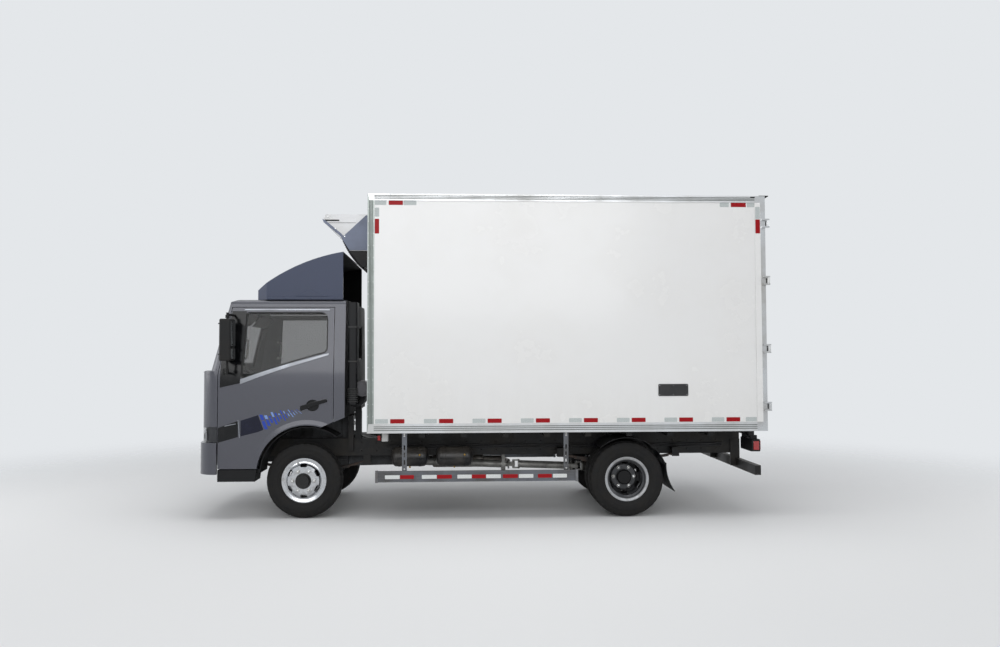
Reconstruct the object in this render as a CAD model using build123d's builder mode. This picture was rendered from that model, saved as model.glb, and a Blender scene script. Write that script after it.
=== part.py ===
from build123d import *
import os
from math import asin, cos, degrees, radians, sin

os.makedirs("parts", exist_ok=True)

# A light two-axle refrigerated truck, as parked on its wheels.
# X runs forward, Y to the truck's left and Z up from the ground, in millimetres.
# The origin is on the ground, at mid length and mid width.

# Running gear
wheelbase = 3370
front_axle_x = 1862
rear_axle_x = front_axle_x - wheelbase
pin_clearance = 0.5      # round a pin or spindle that turns
seat_clearance = 0.3     # between pieces that seat on each other
running_gap = 6          # round a panel or wheel that moves

# Tyres, 7.50R16 under load, and their rims
tyre_radius = 392
tyre_width = 212
tread_half_width = 88
rim_half_width = 88
rim_flange_radius = 231
bead_seat_radius = 204
rim_well_radius = 185
rim_wall = 8
hub_bore_radius = 82
vent_circle_radius = 160
vent_length = 74
vent_width = 36
vent_count = 6
axle_z = tyre_radius

# Front wheels: the kingpin stands inboard of the wheel's centre plane
front_wheel_y = 770
kingpin_y = 640
kingpin_radius = 16
front_disc_offset = 115
spindle_radius = 26
drum_radius = 166
steering_arm = 180

# Rear wheels: two on each hub, their discs face to face
dual_disc_y = 745
dual_offset = 126
rear_spindle_radius = 40

# Chassis frame
rail_outer_y = 375
rail_flange = 65
rail_sheet = 8
rail_bottom_z = 590
rail_height = 190
rail_top_z = rail_bottom_z + rail_height
frame_front_x = front_axle_x + 800
frame_rear_x = -2900
tilt_pivot_x = front_axle_x + 840
tilt_pivot_z = 690
tilt_pin_radius = 20

# Box body
box_front_x = front_axle_x - 675
box_length = 4145
box_rear_x = box_front_x - box_length
box_half_width = 1120
box_bottom_z = 899
box_top_z = 3355
floor_thickness = 100
wall_thickness = 78
edge_sheet = 5
door_thickness = 80
door_gap = 16
frame_post = 85

# Cab, measured from the front axle
cab_back_x = front_axle_x - 429
cab_half_width = 955
cab_roof_z = 2277
cab_bottom_z = 475
cab_wall = 45
cab_skin = 20
belt_z = 1495
windscreen_base_z = 1535
roof_split_z = 2222
door_top_z = 2196
door_bottom_z = 527
door_front_x = front_axle_x + 866
door_rear_x = front_axle_x - 314
arch_x = front_axle_x - 40
arch_z = 462
arch_radius = 508
cab_floor_z = 812
cab_floor_sheet = 30
seat_deck_z = 1100


def block(x, y, z, mode=Mode.ADD):
    """Adds a box to the part being built, from its (low, high) pair along each axis."""
    with Locations(((x[0] + x[1]) / 2, (y[0] + y[1]) / 2, (z[0] + z[1]) / 2)):
        Box(x[1] - x[0], y[1] - y[0], z[1] - z[0], mode=mode)


def turn(outline, mode=Mode.ADD):
    """Turns a closed outline of (distance along the axle, radius) points about Y."""
    with BuildSketch(Plane.YZ) as section:
        with BuildLine():
            Polyline(*outline, close=True)
        make_face()
    revolve(section.sketch, axis=Axis.Y, mode=mode)


def rod(start, end, radius, mode=Mode.ADD):
    """Adds a round bar between two points."""
    run = Vector(*end) - Vector(*start)
    with BuildSketch(Plane(origin=start, z_dir=run)) as section:
        Circle(radius)
    extrude(section.sketch, amount=run.length, mode=mode)


def side_prism(outline, y, mode=Mode.ADD):
    """Extrudes a closed outline of (x, z) points between two distances to the left."""
    with BuildSketch(Plane.XZ.offset(-y[1])) as section:
        with BuildLine():
            Polyline(*outline, close=True)
        make_face()
    extrude(section.sketch, amount=y[1] - y[0], mode=mode)


def cross_prism(outline, x, mode=Mode.ADD):
    """Extrudes a closed outline of (y, z) points between two distances forward."""
    with BuildSketch(Plane.YZ.offset(x[0])) as section:
        with BuildLine():
            Polyline(*outline, close=True)
        make_face()
    extrude(section.sketch, amount=x[1] - x[0], dir=(1, 0, 0), mode=mode)


def mirrored(piece):
    """Returns a piece's copy on the right-hand side."""
    with BuildPart() as copy:
        mirror(piece, about=Plane.XZ)
    return copy.part


# Tyre: a tread arc, bulging side walls and a round air space
tread_drop = 10
shoulder_radius = tyre_radius - tread_drop
bead_half_width = 74
air_half_width = 58
tread_depth = 24


def tyre_at(centre_y):
    """Adds one tyre, its centre plane at a distance along the axle."""
    with BuildSketch(Plane.YZ) as section:
        with BuildLine():
            ThreePointArc(
                (centre_y - tread_half_width, shoulder_radius),
                (centre_y, tyre_radius),
                (centre_y + tread_half_width, shoulder_radius),
            )
            for side in (-1, 1):
                shoulder = (centre_y + side * tread_half_width, shoulder_radius)
                widest = (centre_y + side * tyre_width / 2, rim_flange_radius + 70)
                foot = (centre_y + side * (rim_half_width - 2), rim_flange_radius + 6)
                heel = (centre_y + side * (rim_half_width - 10), rim_flange_radius - 1)
                bead = (centre_y + side * bead_half_width, bead_seat_radius + 2)
                toe = (centre_y + side * air_half_width, bead_seat_radius + 2)
                throat = (centre_y + side * (air_half_width + 6), rim_flange_radius + 9)
                ThreePointArc(shoulder, widest, foot)
                Polyline(foot, heel, bead, toe, throat)
            ThreePointArc(
                (centre_y - air_half_width - 6, rim_flange_radius + 9),
                (centre_y, tyre_radius - tread_depth),
                (centre_y + air_half_width + 6, rim_flange_radius + 9),
            )
        make_face()
    revolve(section.sketch, axis=Axis.Y)


# Rim section, from the well out to the flange and back along the inside: y, radius
rim_half_section = (
    (30, rim_well_radius),
    (45, bead_seat_radius),
    (bead_half_width, bead_seat_radius),
    (rim_half_width - rim_wall, rim_flange_radius),
    (rim_half_width, rim_flange_radius),
    (rim_half_width, rim_flange_radius - rim_wall),
    (bead_half_width + rim_wall, bead_seat_radius - rim_wall),
    (49, bead_seat_radius - rim_wall),
    (34, rim_well_radius - rim_wall),
)


def rim_at(centre_y):
    """Adds one rim barrel, its centre plane at a distance along the axle."""
    right = [(centre_y + y, radius) for y, radius in rim_half_section]
    left = [(centre_y - y, radius) for y, radius in reversed(rim_half_section)]
    turn(right + left)


def vents(near_y, far_y):
    """Cuts the ring of oval vents through a disc between two distances along the axle."""
    with BuildSketch(Plane.XZ.offset(-far_y)) as slots:
        with PolarLocations(vent_circle_radius, vent_count, start_angle=30):
            SlotOverall(vent_length, vent_width, rotation=90)
    extrude(slots.sketch, amount=far_y - near_y, mode=Mode.SUBTRACT)


with BuildPart() as front_tyre_form:
    tyre_at(0)

# Front wheel: a convex polished disc in the rim, with the hub and brake drum behind it
disc_plate = 12
with BuildPart() as front_wheel_form:
    rim_at(0)
    turn(
        (
            (front_disc_offset, hub_bore_radius),
            (front_disc_offset + disc_plate, hub_bore_radius),
            (front_disc_offset + disc_plate, 132),
            (112, 162),
            (84, 182),
            (80, bead_seat_radius - 4),
            (68, bead_seat_radius - 4),
            (72, 178),
            (100, 156),
            (front_disc_offset, 128),
        )
    )
    vents(60, front_disc_offset + 40)
    turn(
        (
            (-44, drum_radius - 10),
            (-44, drum_radius),
            (84, drum_radius - 14),
            (front_disc_offset, 134),
            (front_disc_offset, 66),
            (front_disc_offset + 44, 62),
            (front_disc_offset + 44, 0),
            (front_disc_offset + 26, 0),
            (front_disc_offset + 26, spindle_radius + pin_clearance),
            (0, spindle_radius + pin_clearance),
            (0, 52),
            (front_disc_offset - 14, 60),
            (front_disc_offset - 14, 124),
            (76, drum_radius - 26),
        )
    )

# Rear pair: two dished discs bolted face to face on one hub, with the drum inside
with BuildPart() as rear_tyre_form:
    tyre_at(dual_offset)
    tyre_at(-dual_offset)

dished_disc = (
    (0, hub_bore_radius),
    (disc_plate, hub_bore_radius),
    (disc_plate, 132),
    (46, 160),
    (104, rim_well_radius - rim_wall - 3),
    (104, rim_well_radius - 2),
    (90, rim_well_radius - 2),
    (36, 172),
    (0, 140),
)
with BuildPart() as rear_wheel_form:
    for side in (-1, 1):
        rim_at(side * dual_offset)
        turn([(side * y, radius) for y, radius in dished_disc])
    vents(-120, 120)
    turn(
        (
            (-170, drum_radius - 28),
            (-170, drum_radius - 16),
            (-56, drum_radius - 16),
            (-20, 128),
            (disc_plate + 14, 128),
            (disc_plate + 14, 80),
            (66, 78),
            (74, 68),
            (74, 0),
            (58, 0),
            (58, rear_spindle_radius + pin_clearance),
            (-150, rear_spindle_radius + pin_clearance),
            (-150, 74),
            (-40, 80),
            (-40, 112),
            (-66, drum_radius - 28),
        )
    )

with BuildPart() as front_left_tyre:
    with Locations((front_axle_x, front_wheel_y, axle_z)):
        add(front_tyre_form.part)

with BuildPart() as front_left_wheel:
    with Locations((front_axle_x, front_wheel_y, axle_z)):
        add(front_wheel_form.part)

with BuildPart() as rear_left_tyres:
    with Locations((rear_axle_x, dual_disc_y, axle_z)):
        add(rear_tyre_form.part)

with BuildPart() as rear_left_wheels:
    with Locations((rear_axle_x, dual_disc_y, axle_z)):
        add(rear_wheel_form.part)

# Knuckle: two ears on the kingpin, a flange that carries the brake plate, and the spindle
boss_half_height = 38
ear_thickness = 34
brake_plate_radius = 148
brake_plate_y = front_wheel_y - 36
arm_z = axle_z - boss_half_height - ear_thickness / 2
with BuildPart() as left_knuckle:
    ear_low = axle_z - boss_half_height - running_gap / 2 - ear_thickness
    ear_high = axle_z + boss_half_height + running_gap / 2 + ear_thickness
    rod((front_axle_x, kingpin_y, ear_low), (front_axle_x, kingpin_y, ear_high), kingpin_radius)
    for low in (ear_low, ear_high - ear_thickness):
        with BuildSketch(Plane.XY.offset(low)):
            with Locations((front_axle_x, kingpin_y)):
                Circle(34)
            with Locations((front_axle_x, (kingpin_y + brake_plate_y) / 2)):
                Rectangle(56, brake_plate_y - kingpin_y)
        extrude(amount=ear_thickness)
    block(
        (front_axle_x - 28, front_axle_x + 28),
        (kingpin_y + 40, brake_plate_y),
        (ear_low, ear_high),
    )
    rod(
        (front_axle_x, brake_plate_y - 8, axle_z),
        (front_axle_x, brake_plate_y, axle_z),
        brake_plate_radius,
    )
    rod(
        (front_axle_x, brake_plate_y - 8, axle_z),
        (front_axle_x, front_wheel_y + front_disc_offset + 18, axle_z),
        spindle_radius,
    )
    with BuildSketch(Plane.XY.offset(arm_z - 12)):
        with Locations((front_axle_x - steering_arm / 2, kingpin_y)):
            SlotOverall(steering_arm + 44, 44)
    extrude(amount=24)

# Tie rod, hung below the two steering arms by its ball pins
tie_rod_radius = 14
tie_rod_z = arm_z - 12 - tie_rod_radius - 3
with BuildPart() as tie_rod:
    rod(
        (front_axle_x - steering_arm, -kingpin_y, tie_rod_z),
        (front_axle_x - steering_arm, kingpin_y, tie_rod_z),
        tie_rod_radius,
    )
    for side in (-1, 1):
        rod(
            (front_axle_x - steering_arm, side * kingpin_y, tie_rod_z - 20),
            (front_axle_x - steering_arm, side * kingpin_y, arm_z - 12 - seat_clearance),
            22,
        )

# Front axle: a forged I beam with a dropped middle and a boss at each kingpin
beam_half_width = 34
beam_web = 14
front_spring_y = 343
front_spring_seat_z = axle_z + 6
with BuildPart() as front_axle:
    beam_top = (
        (kingpin_y, axle_z + boss_half_height),
        (kingpin_y - 50, axle_z + 36),
        (front_spring_y + 100, front_spring_seat_z),
    )
    beam_foot = (
        (front_spring_y + 80, front_spring_seat_z - 84),
        (kingpin_y - 50, axle_z - 34),
        (kingpin_y, axle_z - boss_half_height),
    )
    half = beam_top + beam_foot
    outline = beam_top + tuple((-y, z) for y, z in reversed(beam_top))
    outline += tuple((-y, z) for y, z in reversed(beam_foot)) + beam_foot
    cross_prism(outline, (front_axle_x - beam_half_width, front_axle_x + beam_half_width))
    pocket_high = front_spring_seat_z - 20
    pocket_low = front_spring_seat_z - 66
    pocket = ((-420, pocket_high), (420, pocket_high), (400, pocket_low), (-400, pocket_low))
    for side in (-1, 1):
        face = front_axle_x + side * beam_half_width
        inner = front_axle_x + side * beam_web / 2
        cross_prism(pocket, (min(face, inner), max(face, inner)), mode=Mode.SUBTRACT)
    for side in (-1, 1):
        rod(
            (front_axle_x, side * kingpin_y, axle_z - boss_half_height),
            (front_axle_x, side * kingpin_y, axle_z + boss_half_height),
            36,
        )
        rod(
            (front_axle_x, side * kingpin_y, axle_z - boss_half_height),
            (front_axle_x, side * kingpin_y, axle_z + boss_half_height),
            kingpin_radius + pin_clearance,
            mode=Mode.SUBTRACT,
        )
        block(
            (front_axle_x - 70, front_axle_x + 70),
            (side * front_spring_y - 40, side * front_spring_y + 40),
            (front_spring_seat_z - 16, front_spring_seat_z),
        )

# Rear axle: a banjo housing, its tubes and spindles, and the pinion nose
rear_tube_radius = 62
rear_spring_y = 450
rear_spring_seat_z = axle_z + rear_tube_radius + 14
pinion_nose_x = rear_axle_x + 330
rear_tube_end_y = dual_disc_y - 170 - running_gap
banjo_radius = 168
banjo_half_depth = 100
banjo_round = 50
with BuildPart() as rear_axle:
    rod(
        (rear_axle_x, -rear_tube_end_y, axle_z),
        (rear_axle_x, rear_tube_end_y, axle_z),
        rear_tube_radius,
    )
    spindle_end_y = dual_disc_y + 52
    rod(
        (rear_axle_x, -spindle_end_y, axle_z),
        (rear_axle_x, spindle_end_y, axle_z),
        rear_spindle_radius,
    )
    banjo_plane = Plane(origin=(rear_axle_x, 0, axle_z), x_dir=(1, 0, 0), z_dir=(0, -1, 0))
    with BuildSketch(banjo_plane) as banjo:
        with BuildLine():
            Polyline((-banjo_half_depth, 0), (-banjo_half_depth, banjo_radius - banjo_round))
            RadiusArc(
                (-banjo_half_depth, banjo_radius - banjo_round),
                (banjo_round - banjo_half_depth, banjo_radius),
                banjo_round,
            )
            Line((banjo_round - banjo_half_depth, banjo_radius), (40, banjo_radius))
            Polyline((40, banjo_radius), (banjo_half_depth, 120), (banjo_half_depth, 0))
            Line((banjo_half_depth, 0), (-banjo_half_depth, 0))
        make_face()
    revolve(banjo.sketch, axis=Axis((rear_axle_x, 0, axle_z), (1, 0, 0)))
    with BuildSketch(Plane.YZ.offset(rear_axle_x + 60)) as nose_root:
        with Locations((0, axle_z)):
            Circle(130)
    with BuildSketch(Plane.YZ.offset(pinion_nose_x)) as nose_tip:
        with Locations((0, axle_z + 20)):
            Circle(56)
    loft([nose_root.sketch, nose_tip.sketch])
    for side in (-1, 1):
        rod(
            (rear_axle_x, side * (rear_tube_end_y - 14), axle_z),
            (rear_axle_x, side * rear_tube_end_y, axle_z),
            drum_radius - 34,
        )
        block(
            (rear_axle_x - 80, rear_axle_x + 80),
            (side * rear_spring_y - 42, side * rear_spring_y + 42),
            (axle_z + 30, rear_spring_seat_z),
        )

# Leaf springs: each pack is leaves of falling length, bent to one curve, with rolled eyes.
# axle_x, side_y, seat_z, eye_reach, eye_rise, leaves, leaf_thickness
spring_packs = (
    (front_axle_x, front_spring_y, front_spring_seat_z, 600, 95, 5, 10),
    (rear_axle_x, rear_spring_y, rear_spring_seat_z, 640, 62, 7, 11),
)
leaf_width = 64
eye_radius = 24


def leaf_pack(axle_x, side_y, seat_z, reach, rise, leaves, thickness):
    """Adds one pack of leaves on its seat, the longest on top."""
    bend = (reach * reach + rise * rise) / (2 * rise)
    centre_z = seat_z + leaves * thickness + bend
    for leaf in range(leaves):
        half_angle = degrees(asin((reach - leaf * reach / (leaves + 1)) / bend))
        inner = bend + leaf * thickness
        with BuildSketch(Plane.XZ.offset(-side_y - leaf_width / 2)) as section:
            with BuildLine():
                near = CenterArc((axle_x, centre_z), inner, 270 - half_angle, 2 * half_angle)
                far = CenterArc(
                    (axle_x, centre_z), inner + thickness, 270 - half_angle, 2 * half_angle
                )
                Line(near @ 0, far @ 0)
                Line(near @ 1, far @ 1)
            make_face()
        extrude(section.sketch, amount=leaf_width)
    for end in (-1, 1):
        eye_z = centre_z - (bend * bend - reach * reach) ** 0.5
        rod(
            (axle_x + end * reach, side_y - leaf_width / 2, eye_z),
            (axle_x + end * reach, side_y + leaf_width / 2, eye_z),
            eye_radius,
        )
    return centre_z - (bend * bend - reach * reach) ** 0.5


eye_heights = []
with BuildPart() as leaf_springs:
    for axle_x, side_y, seat_z, reach, rise, leaves, thickness in spring_packs:
        eye_heights.append(leaf_pack(axle_x, side_y, seat_z, reach, rise, leaves, thickness))
    mirror(about=Plane.XZ)

# Chassis frame: two channel rails, cross members, spring hangers and the cab's carriers
crossmember_top = rail_top_z - 20
crossmember_low = rail_top_z - 100
crossmembers = (
    front_axle_x - 1150,
    rear_axle_x + 1250,
    rear_axle_x + 560,
    rear_axle_x - 480,
    frame_rear_x + 60,
)
hoop_x = (front_axle_x - 455, front_axle_x - 400)
hoop_top = 1030
cab_pad_top = 1051 - seat_clearance
with BuildPart() as chassis_frame:
    web_inner = rail_outer_y - rail_sheet
    flange_inner = rail_outer_y - rail_flange
    channel = (
        (rail_outer_y, rail_bottom_z),
        (rail_outer_y, rail_top_z),
        (flange_inner, rail_top_z),
        (flange_inner, rail_top_z - rail_sheet),
        (web_inner, rail_top_z - rail_sheet),
        (web_inner, rail_bottom_z + rail_sheet),
        (flange_inner, rail_bottom_z + rail_sheet),
        (flange_inner, rail_bottom_z),
    )
    cross_prism(channel, (frame_rear_x, frame_front_x))
    lug_x = (frame_front_x - 60, tilt_pivot_x + 10)
    block(lug_x, (web_inner, rail_outer_y), (tilt_pivot_z - 60, tilt_pivot_z + 60))
    for pack, eye_z in zip(spring_packs, eye_heights):
        axle_x, side_y, seat_z, reach = pack[:4]
        for end in (-1, 1):
            eye_x = axle_x + end * reach
            for cheek in (-1, 1):
                near = side_y + cheek * (leaf_width / 2 + seat_clearance)
                far = near + cheek * 8
                block(
                    (eye_x - 40, eye_x + 40),
                    (min(near, far), max(near, far)),
                    (eye_z - 36, max(rail_bottom_z, eye_z + 60)),
                )
            if side_y < rail_outer_y:
                block(
                    (eye_x - 40, eye_x + 40),
                    (side_y - leaf_width / 2 - 8, side_y + leaf_width / 2 + 8),
                    (rail_bottom_z - 12, rail_bottom_z + 1),
                )
            else:
                block(
                    (eye_x - 40, eye_x + 40),
                    (rail_outer_y - 1, side_y + leaf_width / 2 + 8),
                    (eye_z + 44, eye_z + 60),
                )
    block(hoop_x, (rail_outer_y - 1, rail_outer_y + 40), (rail_bottom_z + 60, hoop_top))
    mirror(about=Plane.XZ)
    for member_x in crossmembers:
        block(
            (member_x - 40, member_x + 40),
            (-web_inner - 1, web_inner + 1),
            (crossmember_low, crossmember_top),
        )
        block(
            (member_x - 32, member_x + 41),
            (-web_inner + 4, web_inner - 4),
            (crossmember_low + 8, crossmember_top - 8),
            mode=Mode.SUBTRACT,
        )
    block(
        hoop_x,
        (-rail_outer_y - 40, rail_outer_y + 40),
        (hoop_top - 45, hoop_top),
    )
    for side in (-1, 1):
        rod((hoop_x[0] + 27, side * 300, hoop_top), (hoop_x[0] + 27, side * 300, cab_pad_top), 24)
    rod(
        (tilt_pivot_x, -rail_outer_y, tilt_pivot_z),
        (tilt_pivot_x, rail_outer_y, tilt_pivot_z),
        34,
    )
    rod(
        (tilt_pivot_x, -rail_outer_y - 60, tilt_pivot_z),
        (tilt_pivot_x, rail_outer_y + 60, tilt_pivot_z),
        tilt_pin_radius,
    )

# Engine and gearbox: plain blocks at their real place and size
engine_x = (front_axle_x - 380, front_axle_x + 330)
gearbox_rear_x = front_axle_x - 1000
with BuildPart() as engine:
    block(engine_x, (-285, 285), (450, 1070))
    mount_half_length = rail_outer_y - rail_sheet - seat_clearance
    block(
        (front_axle_x + 120, front_axle_x + 200),
        (-mount_half_length, mount_half_length),
        (rail_bottom_z + 60, rail_bottom_z + 110),
    )
    with BuildSketch(Plane.YZ.offset(engine_x[0])) as bell:
        with Locations((0, 640)):
            Rectangle(420, 360)
    with BuildSketch(Plane.YZ.offset(gearbox_rear_x)) as tail:
        with Locations((0, 560)):
            Rectangle(200, 210)
    loft([bell.sketch, tail.sketch])

# Prop shaft: two tubes on universal joints, hung from a cross member by a centre bearing
shaft_radius = 42
flange_radius = 54
fork_reach = 58
bearing_x = crossmembers[1]
bearing_z = 438
bearing_radius = 72


def universal_joint(centre):
    """Adds a spider with a fork on each side, the forks a quarter turn apart."""
    x, y, z = centre
    rod((x, y - 50, z), (x, y + 50, z), 15)
    rod((x, y, z - 50), (x, y, z + 50), 15)
    for side in (-1, 1):
        lug = (min(side * 36, side * 50), max(side * 36, side * 50))
        block((x - 4, x + fork_reach), (y + lug[0], y + lug[1]), (z - 20, z + 20))
        block((x - fork_reach, x + 4), (y - 20, y + 20), (z + lug[0], z + lug[1]))
        rod((x + side * (fork_reach - 6), y, z), (x + side * (fork_reach + 10), y, z), flange_radius)


with BuildPart() as prop_shaft:
    shaft_front = (gearbox_rear_x - seat_clearance, 0, 480)
    shaft_rear = (pinion_nose_x + seat_clearance, 0, axle_z + 20)
    front_joint = (shaft_front[0] - fork_reach - 12, 0, shaft_front[2])
    middle_joint = (bearing_x - 120, 0, bearing_z)
    rear_joint = (shaft_rear[0] + fork_reach + 12, 0, shaft_rear[2])
    for centre in (front_joint, middle_joint, rear_joint):
        universal_joint(centre)
    rod(shaft_front, (shaft_front[0] - 12, 0, shaft_front[2]), flange_radius)
    rod(shaft_rear, (shaft_rear[0] + 12, 0, shaft_rear[2]), flange_radius)
    rod(
        (front_joint[0] - fork_reach, 0, front_joint[2] - 2),
        (bearing_x, 0, bearing_z),
        shaft_radius,
    )
    rod(
        (middle_joint[0] - fork_reach, 0, bearing_z),
        (rear_joint[0] + fork_reach, 0, rear_joint[2] + 1),
        shaft_radius,
    )
    rod((bearing_x, 0, bearing_z), (middle_joint[0] + fork_reach, 0, bearing_z), 30)
    rod((bearing_x - 25, 0, bearing_z), (bearing_x + 25, 0, bearing_z), bearing_radius)
    for side in (-1, 1):
        leg = (side * (bearing_radius - 12), side * bearing_radius)
        block(
            (bearing_x - 18, bearing_x + 18),
            (min(leg), max(leg)),
            (bearing_z, crossmember_low - seat_clearance),
        )
    block(
        (bearing_x - 30, bearing_x + 30),
        (-bearing_radius - 30, bearing_radius + 30),
        (crossmember_low - 10, crossmember_low - seat_clearance),
    )

# Exhaust: a silencer inboard of the fuel tank and a tail pipe turned to the right
silencer_x = (front_axle_x - 1900, front_axle_x - 1300)
silencer_y = -250
silencer_z = 475
silencer_radius = 100
with BuildPart() as exhaust:
    rod(
        (silencer_x[0], silencer_y, silencer_z),
        (silencer_x[1], silencer_y, silencer_z),
        silencer_radius,
    )
    fillet(edges().filter_by(GeomType.CIRCLE), radius=24)
    for strap_x in (silencer_x[0] + 110, silencer_x[1] - 110):
        block(
            (strap_x - 20, strap_x + 20),
            (silencer_y - 82, silencer_y - 74),
            (silencer_z, rail_bottom_z - seat_clearance),
        )
    rod(
        (silencer_x[1] - 10, silencer_y, silencer_z),
        (front_axle_x - 420, silencer_y, silencer_z),
        30,
    )
    rod(
        (silencer_x[0] + 10, silencer_y, silencer_z),
        (silencer_x[0] - 220, silencer_y, silencer_z),
        30,
    )
    rod(
        (silencer_x[0] - 220, silencer_y + 12, silencer_z),
        (silencer_x[0] - 300, silencer_y - 190, silencer_z - 60),
        30,
    )

# Fuel tank on the right, on two straps from the rail
tank_x = (front_axle_x - 1980, front_axle_x - 1240)
tank_y = (-960, -rail_outer_y - 50)
tank_z = (455, 800)
with BuildPart() as fuel_tank:
    block(tank_x, tank_y, tank_z)
    fillet(edges().filter_by(Axis.X), radius=60)
    for strap_x in (tank_x[0] + 130, tank_x[1] - 130):
        block((strap_x - 25, strap_x + 25), (tank_y[1] - 2, -rail_outer_y), (620, 760))
        block((strap_x - 22, strap_x + 22), (tank_y[0] - 5, tank_y[0] + 20), (tank_z[0] + 70, tank_z[1] - 70))
    filler_x = tank_x[1] - 240
    rod((filler_x, tank_y[0] + 80, tank_z[1] - 55), (filler_x, tank_y[0] + 45, tank_z[1] + 32), 36)

# Battery box on the right, ahead of the fuel tank
battery_x = (front_axle_x - 1180, front_axle_x - 800)
with BuildPart() as battery_box:
    block(battery_x, (-940, -rail_outer_y - 40), (520, 790))
    fillet(edges().filter_by(Axis.Z), radius=20)
    block(
        (battery_x[0] + 40, battery_x[1] - 40), (-rail_outer_y - 42, -rail_outer_y), (640, 740)
    )

# Box subframe: two runners on the rails and bearers across them
runner_height = 60
bearer_width = 60
bearer_count = 10
bearer_half_length = 960
bearer_low_z = rail_top_z + runner_height
runner_x = (frame_rear_x, box_front_x - 40)
with BuildPart() as box_subframe:
    block(
        runner_x,
        (rail_outer_y - rail_flange, rail_outer_y),
        (rail_top_z, bearer_low_z),
    )
    mirror(about=Plane.XZ)
    bearer_step = (box_length - 240) / (bearer_count - 1)
    for index in range(bearer_count):
        bearer_x = box_rear_x + 120 + index * bearer_step
        block(
            (bearer_x - bearer_width / 2, bearer_x + bearer_width / 2),
            (-bearer_half_length, bearer_half_length),
            (bearer_low_z, box_bottom_z),
        )

# Box floor and walls: white sandwich panels, each as thick as the whole wall
wall_outer_y = box_half_width - edge_sheet
wall_inner_y = wall_outer_y - wall_thickness
front_outer_x = box_front_x - edge_sheet
front_inner_x = front_outer_x - wall_thickness
door_plane_x = box_rear_x + door_thickness
panel_rear_x = door_plane_x + 30
floor_top_z = box_bottom_z + floor_thickness
roof_outer_z = box_top_z - edge_sheet
roof_inner_z = roof_outer_z - wall_thickness
with BuildPart() as box_floor:
    block(
        (panel_rear_x, front_inner_x),
        (-wall_inner_y, wall_inner_y),
        (box_bottom_z, floor_top_z),
    )

with BuildPart() as box_side_walls:
    block(
        (panel_rear_x, front_outer_x),
        (wall_inner_y, wall_outer_y),
        (box_bottom_z + edge_sheet, roof_outer_z),
    )
    mirror(about=Plane.XZ)

with BuildPart() as box_front_wall:
    block(
        (front_inner_x, front_outer_x),
        (-wall_inner_y, wall_inner_y),
        (box_bottom_z + edge_sheet, roof_outer_z),
    )

with BuildPart() as box_roof:
    block(
        (panel_rear_x, front_inner_x),
        (-wall_inner_y, wall_inner_y),
        (roof_inner_z, roof_outer_z),
    )

# Aluminium edge profiles: sheet angles over every outside edge of the box, with grooves
rail_face = 70
side_rail_face = 95
groove = 3
with BuildPart() as box_edge_rails:
    low_z = box_bottom_z
    high_z = box_top_z
    rear_x = panel_rear_x
    for foot_z, head_z in ((low_z, low_z + side_rail_face), (high_z - rail_face, high_z)):
        block((rear_x, box_front_x), (wall_outer_y, box_half_width), (foot_z, head_z))
        for level in (0.3, 0.5, 0.7):
            groove_z = foot_z + level * (head_z - foot_z)
            block(
                (rear_x, box_front_x),
                (box_half_width - groove, box_half_width),
                (groove_z - 4, groove_z + 4),
                mode=Mode.SUBTRACT,
            )
    block((front_outer_x, box_front_x), (wall_outer_y - rail_face, box_half_width), (low_z, high_z))
    block((box_front_x - rail_face, box_front_x), (wall_outer_y, box_half_width), (low_z, high_z))
    for level in (0.3, 0.5, 0.7):
        groove_x = box_front_x - level * rail_face
        block(
            (groove_x - 4, groove_x + 4),
            (box_half_width - groove, box_half_width),
            (low_z + side_rail_face, high_z - rail_face),
            mode=Mode.SUBTRACT,
        )
    block(
        (rear_x, box_front_x),
        (wall_outer_y - rail_face, box_half_width),
        (roof_outer_z, high_z),
    )
    block((rear_x, box_front_x), (wall_inner_y, box_half_width), (low_z, low_z + edge_sheet))
    mirror(about=Plane.XZ)
    for foot_z, head_z in ((low_z, low_z + side_rail_face), (high_z - rail_face, high_z)):
        block((front_outer_x, box_front_x), (-wall_outer_y, wall_outer_y), (foot_z, head_z))
    block(
        (box_front_x - rail_face, box_front_x), (-wall_outer_y, wall_outer_y), (roof_outer_z, high_z)
    )
    corners = edges().filter_by(Axis.Z).group_by(Axis.X)[-1]
    fillet(corners, radius=edge_sheet - 1)
    block(
        (rear_x, front_inner_x),
        (-wall_inner_y, wall_inner_y),
        (low_z, box_top_z - wall_thickness - edge_sheet),
        mode=Mode.SUBTRACT,
    )

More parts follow.
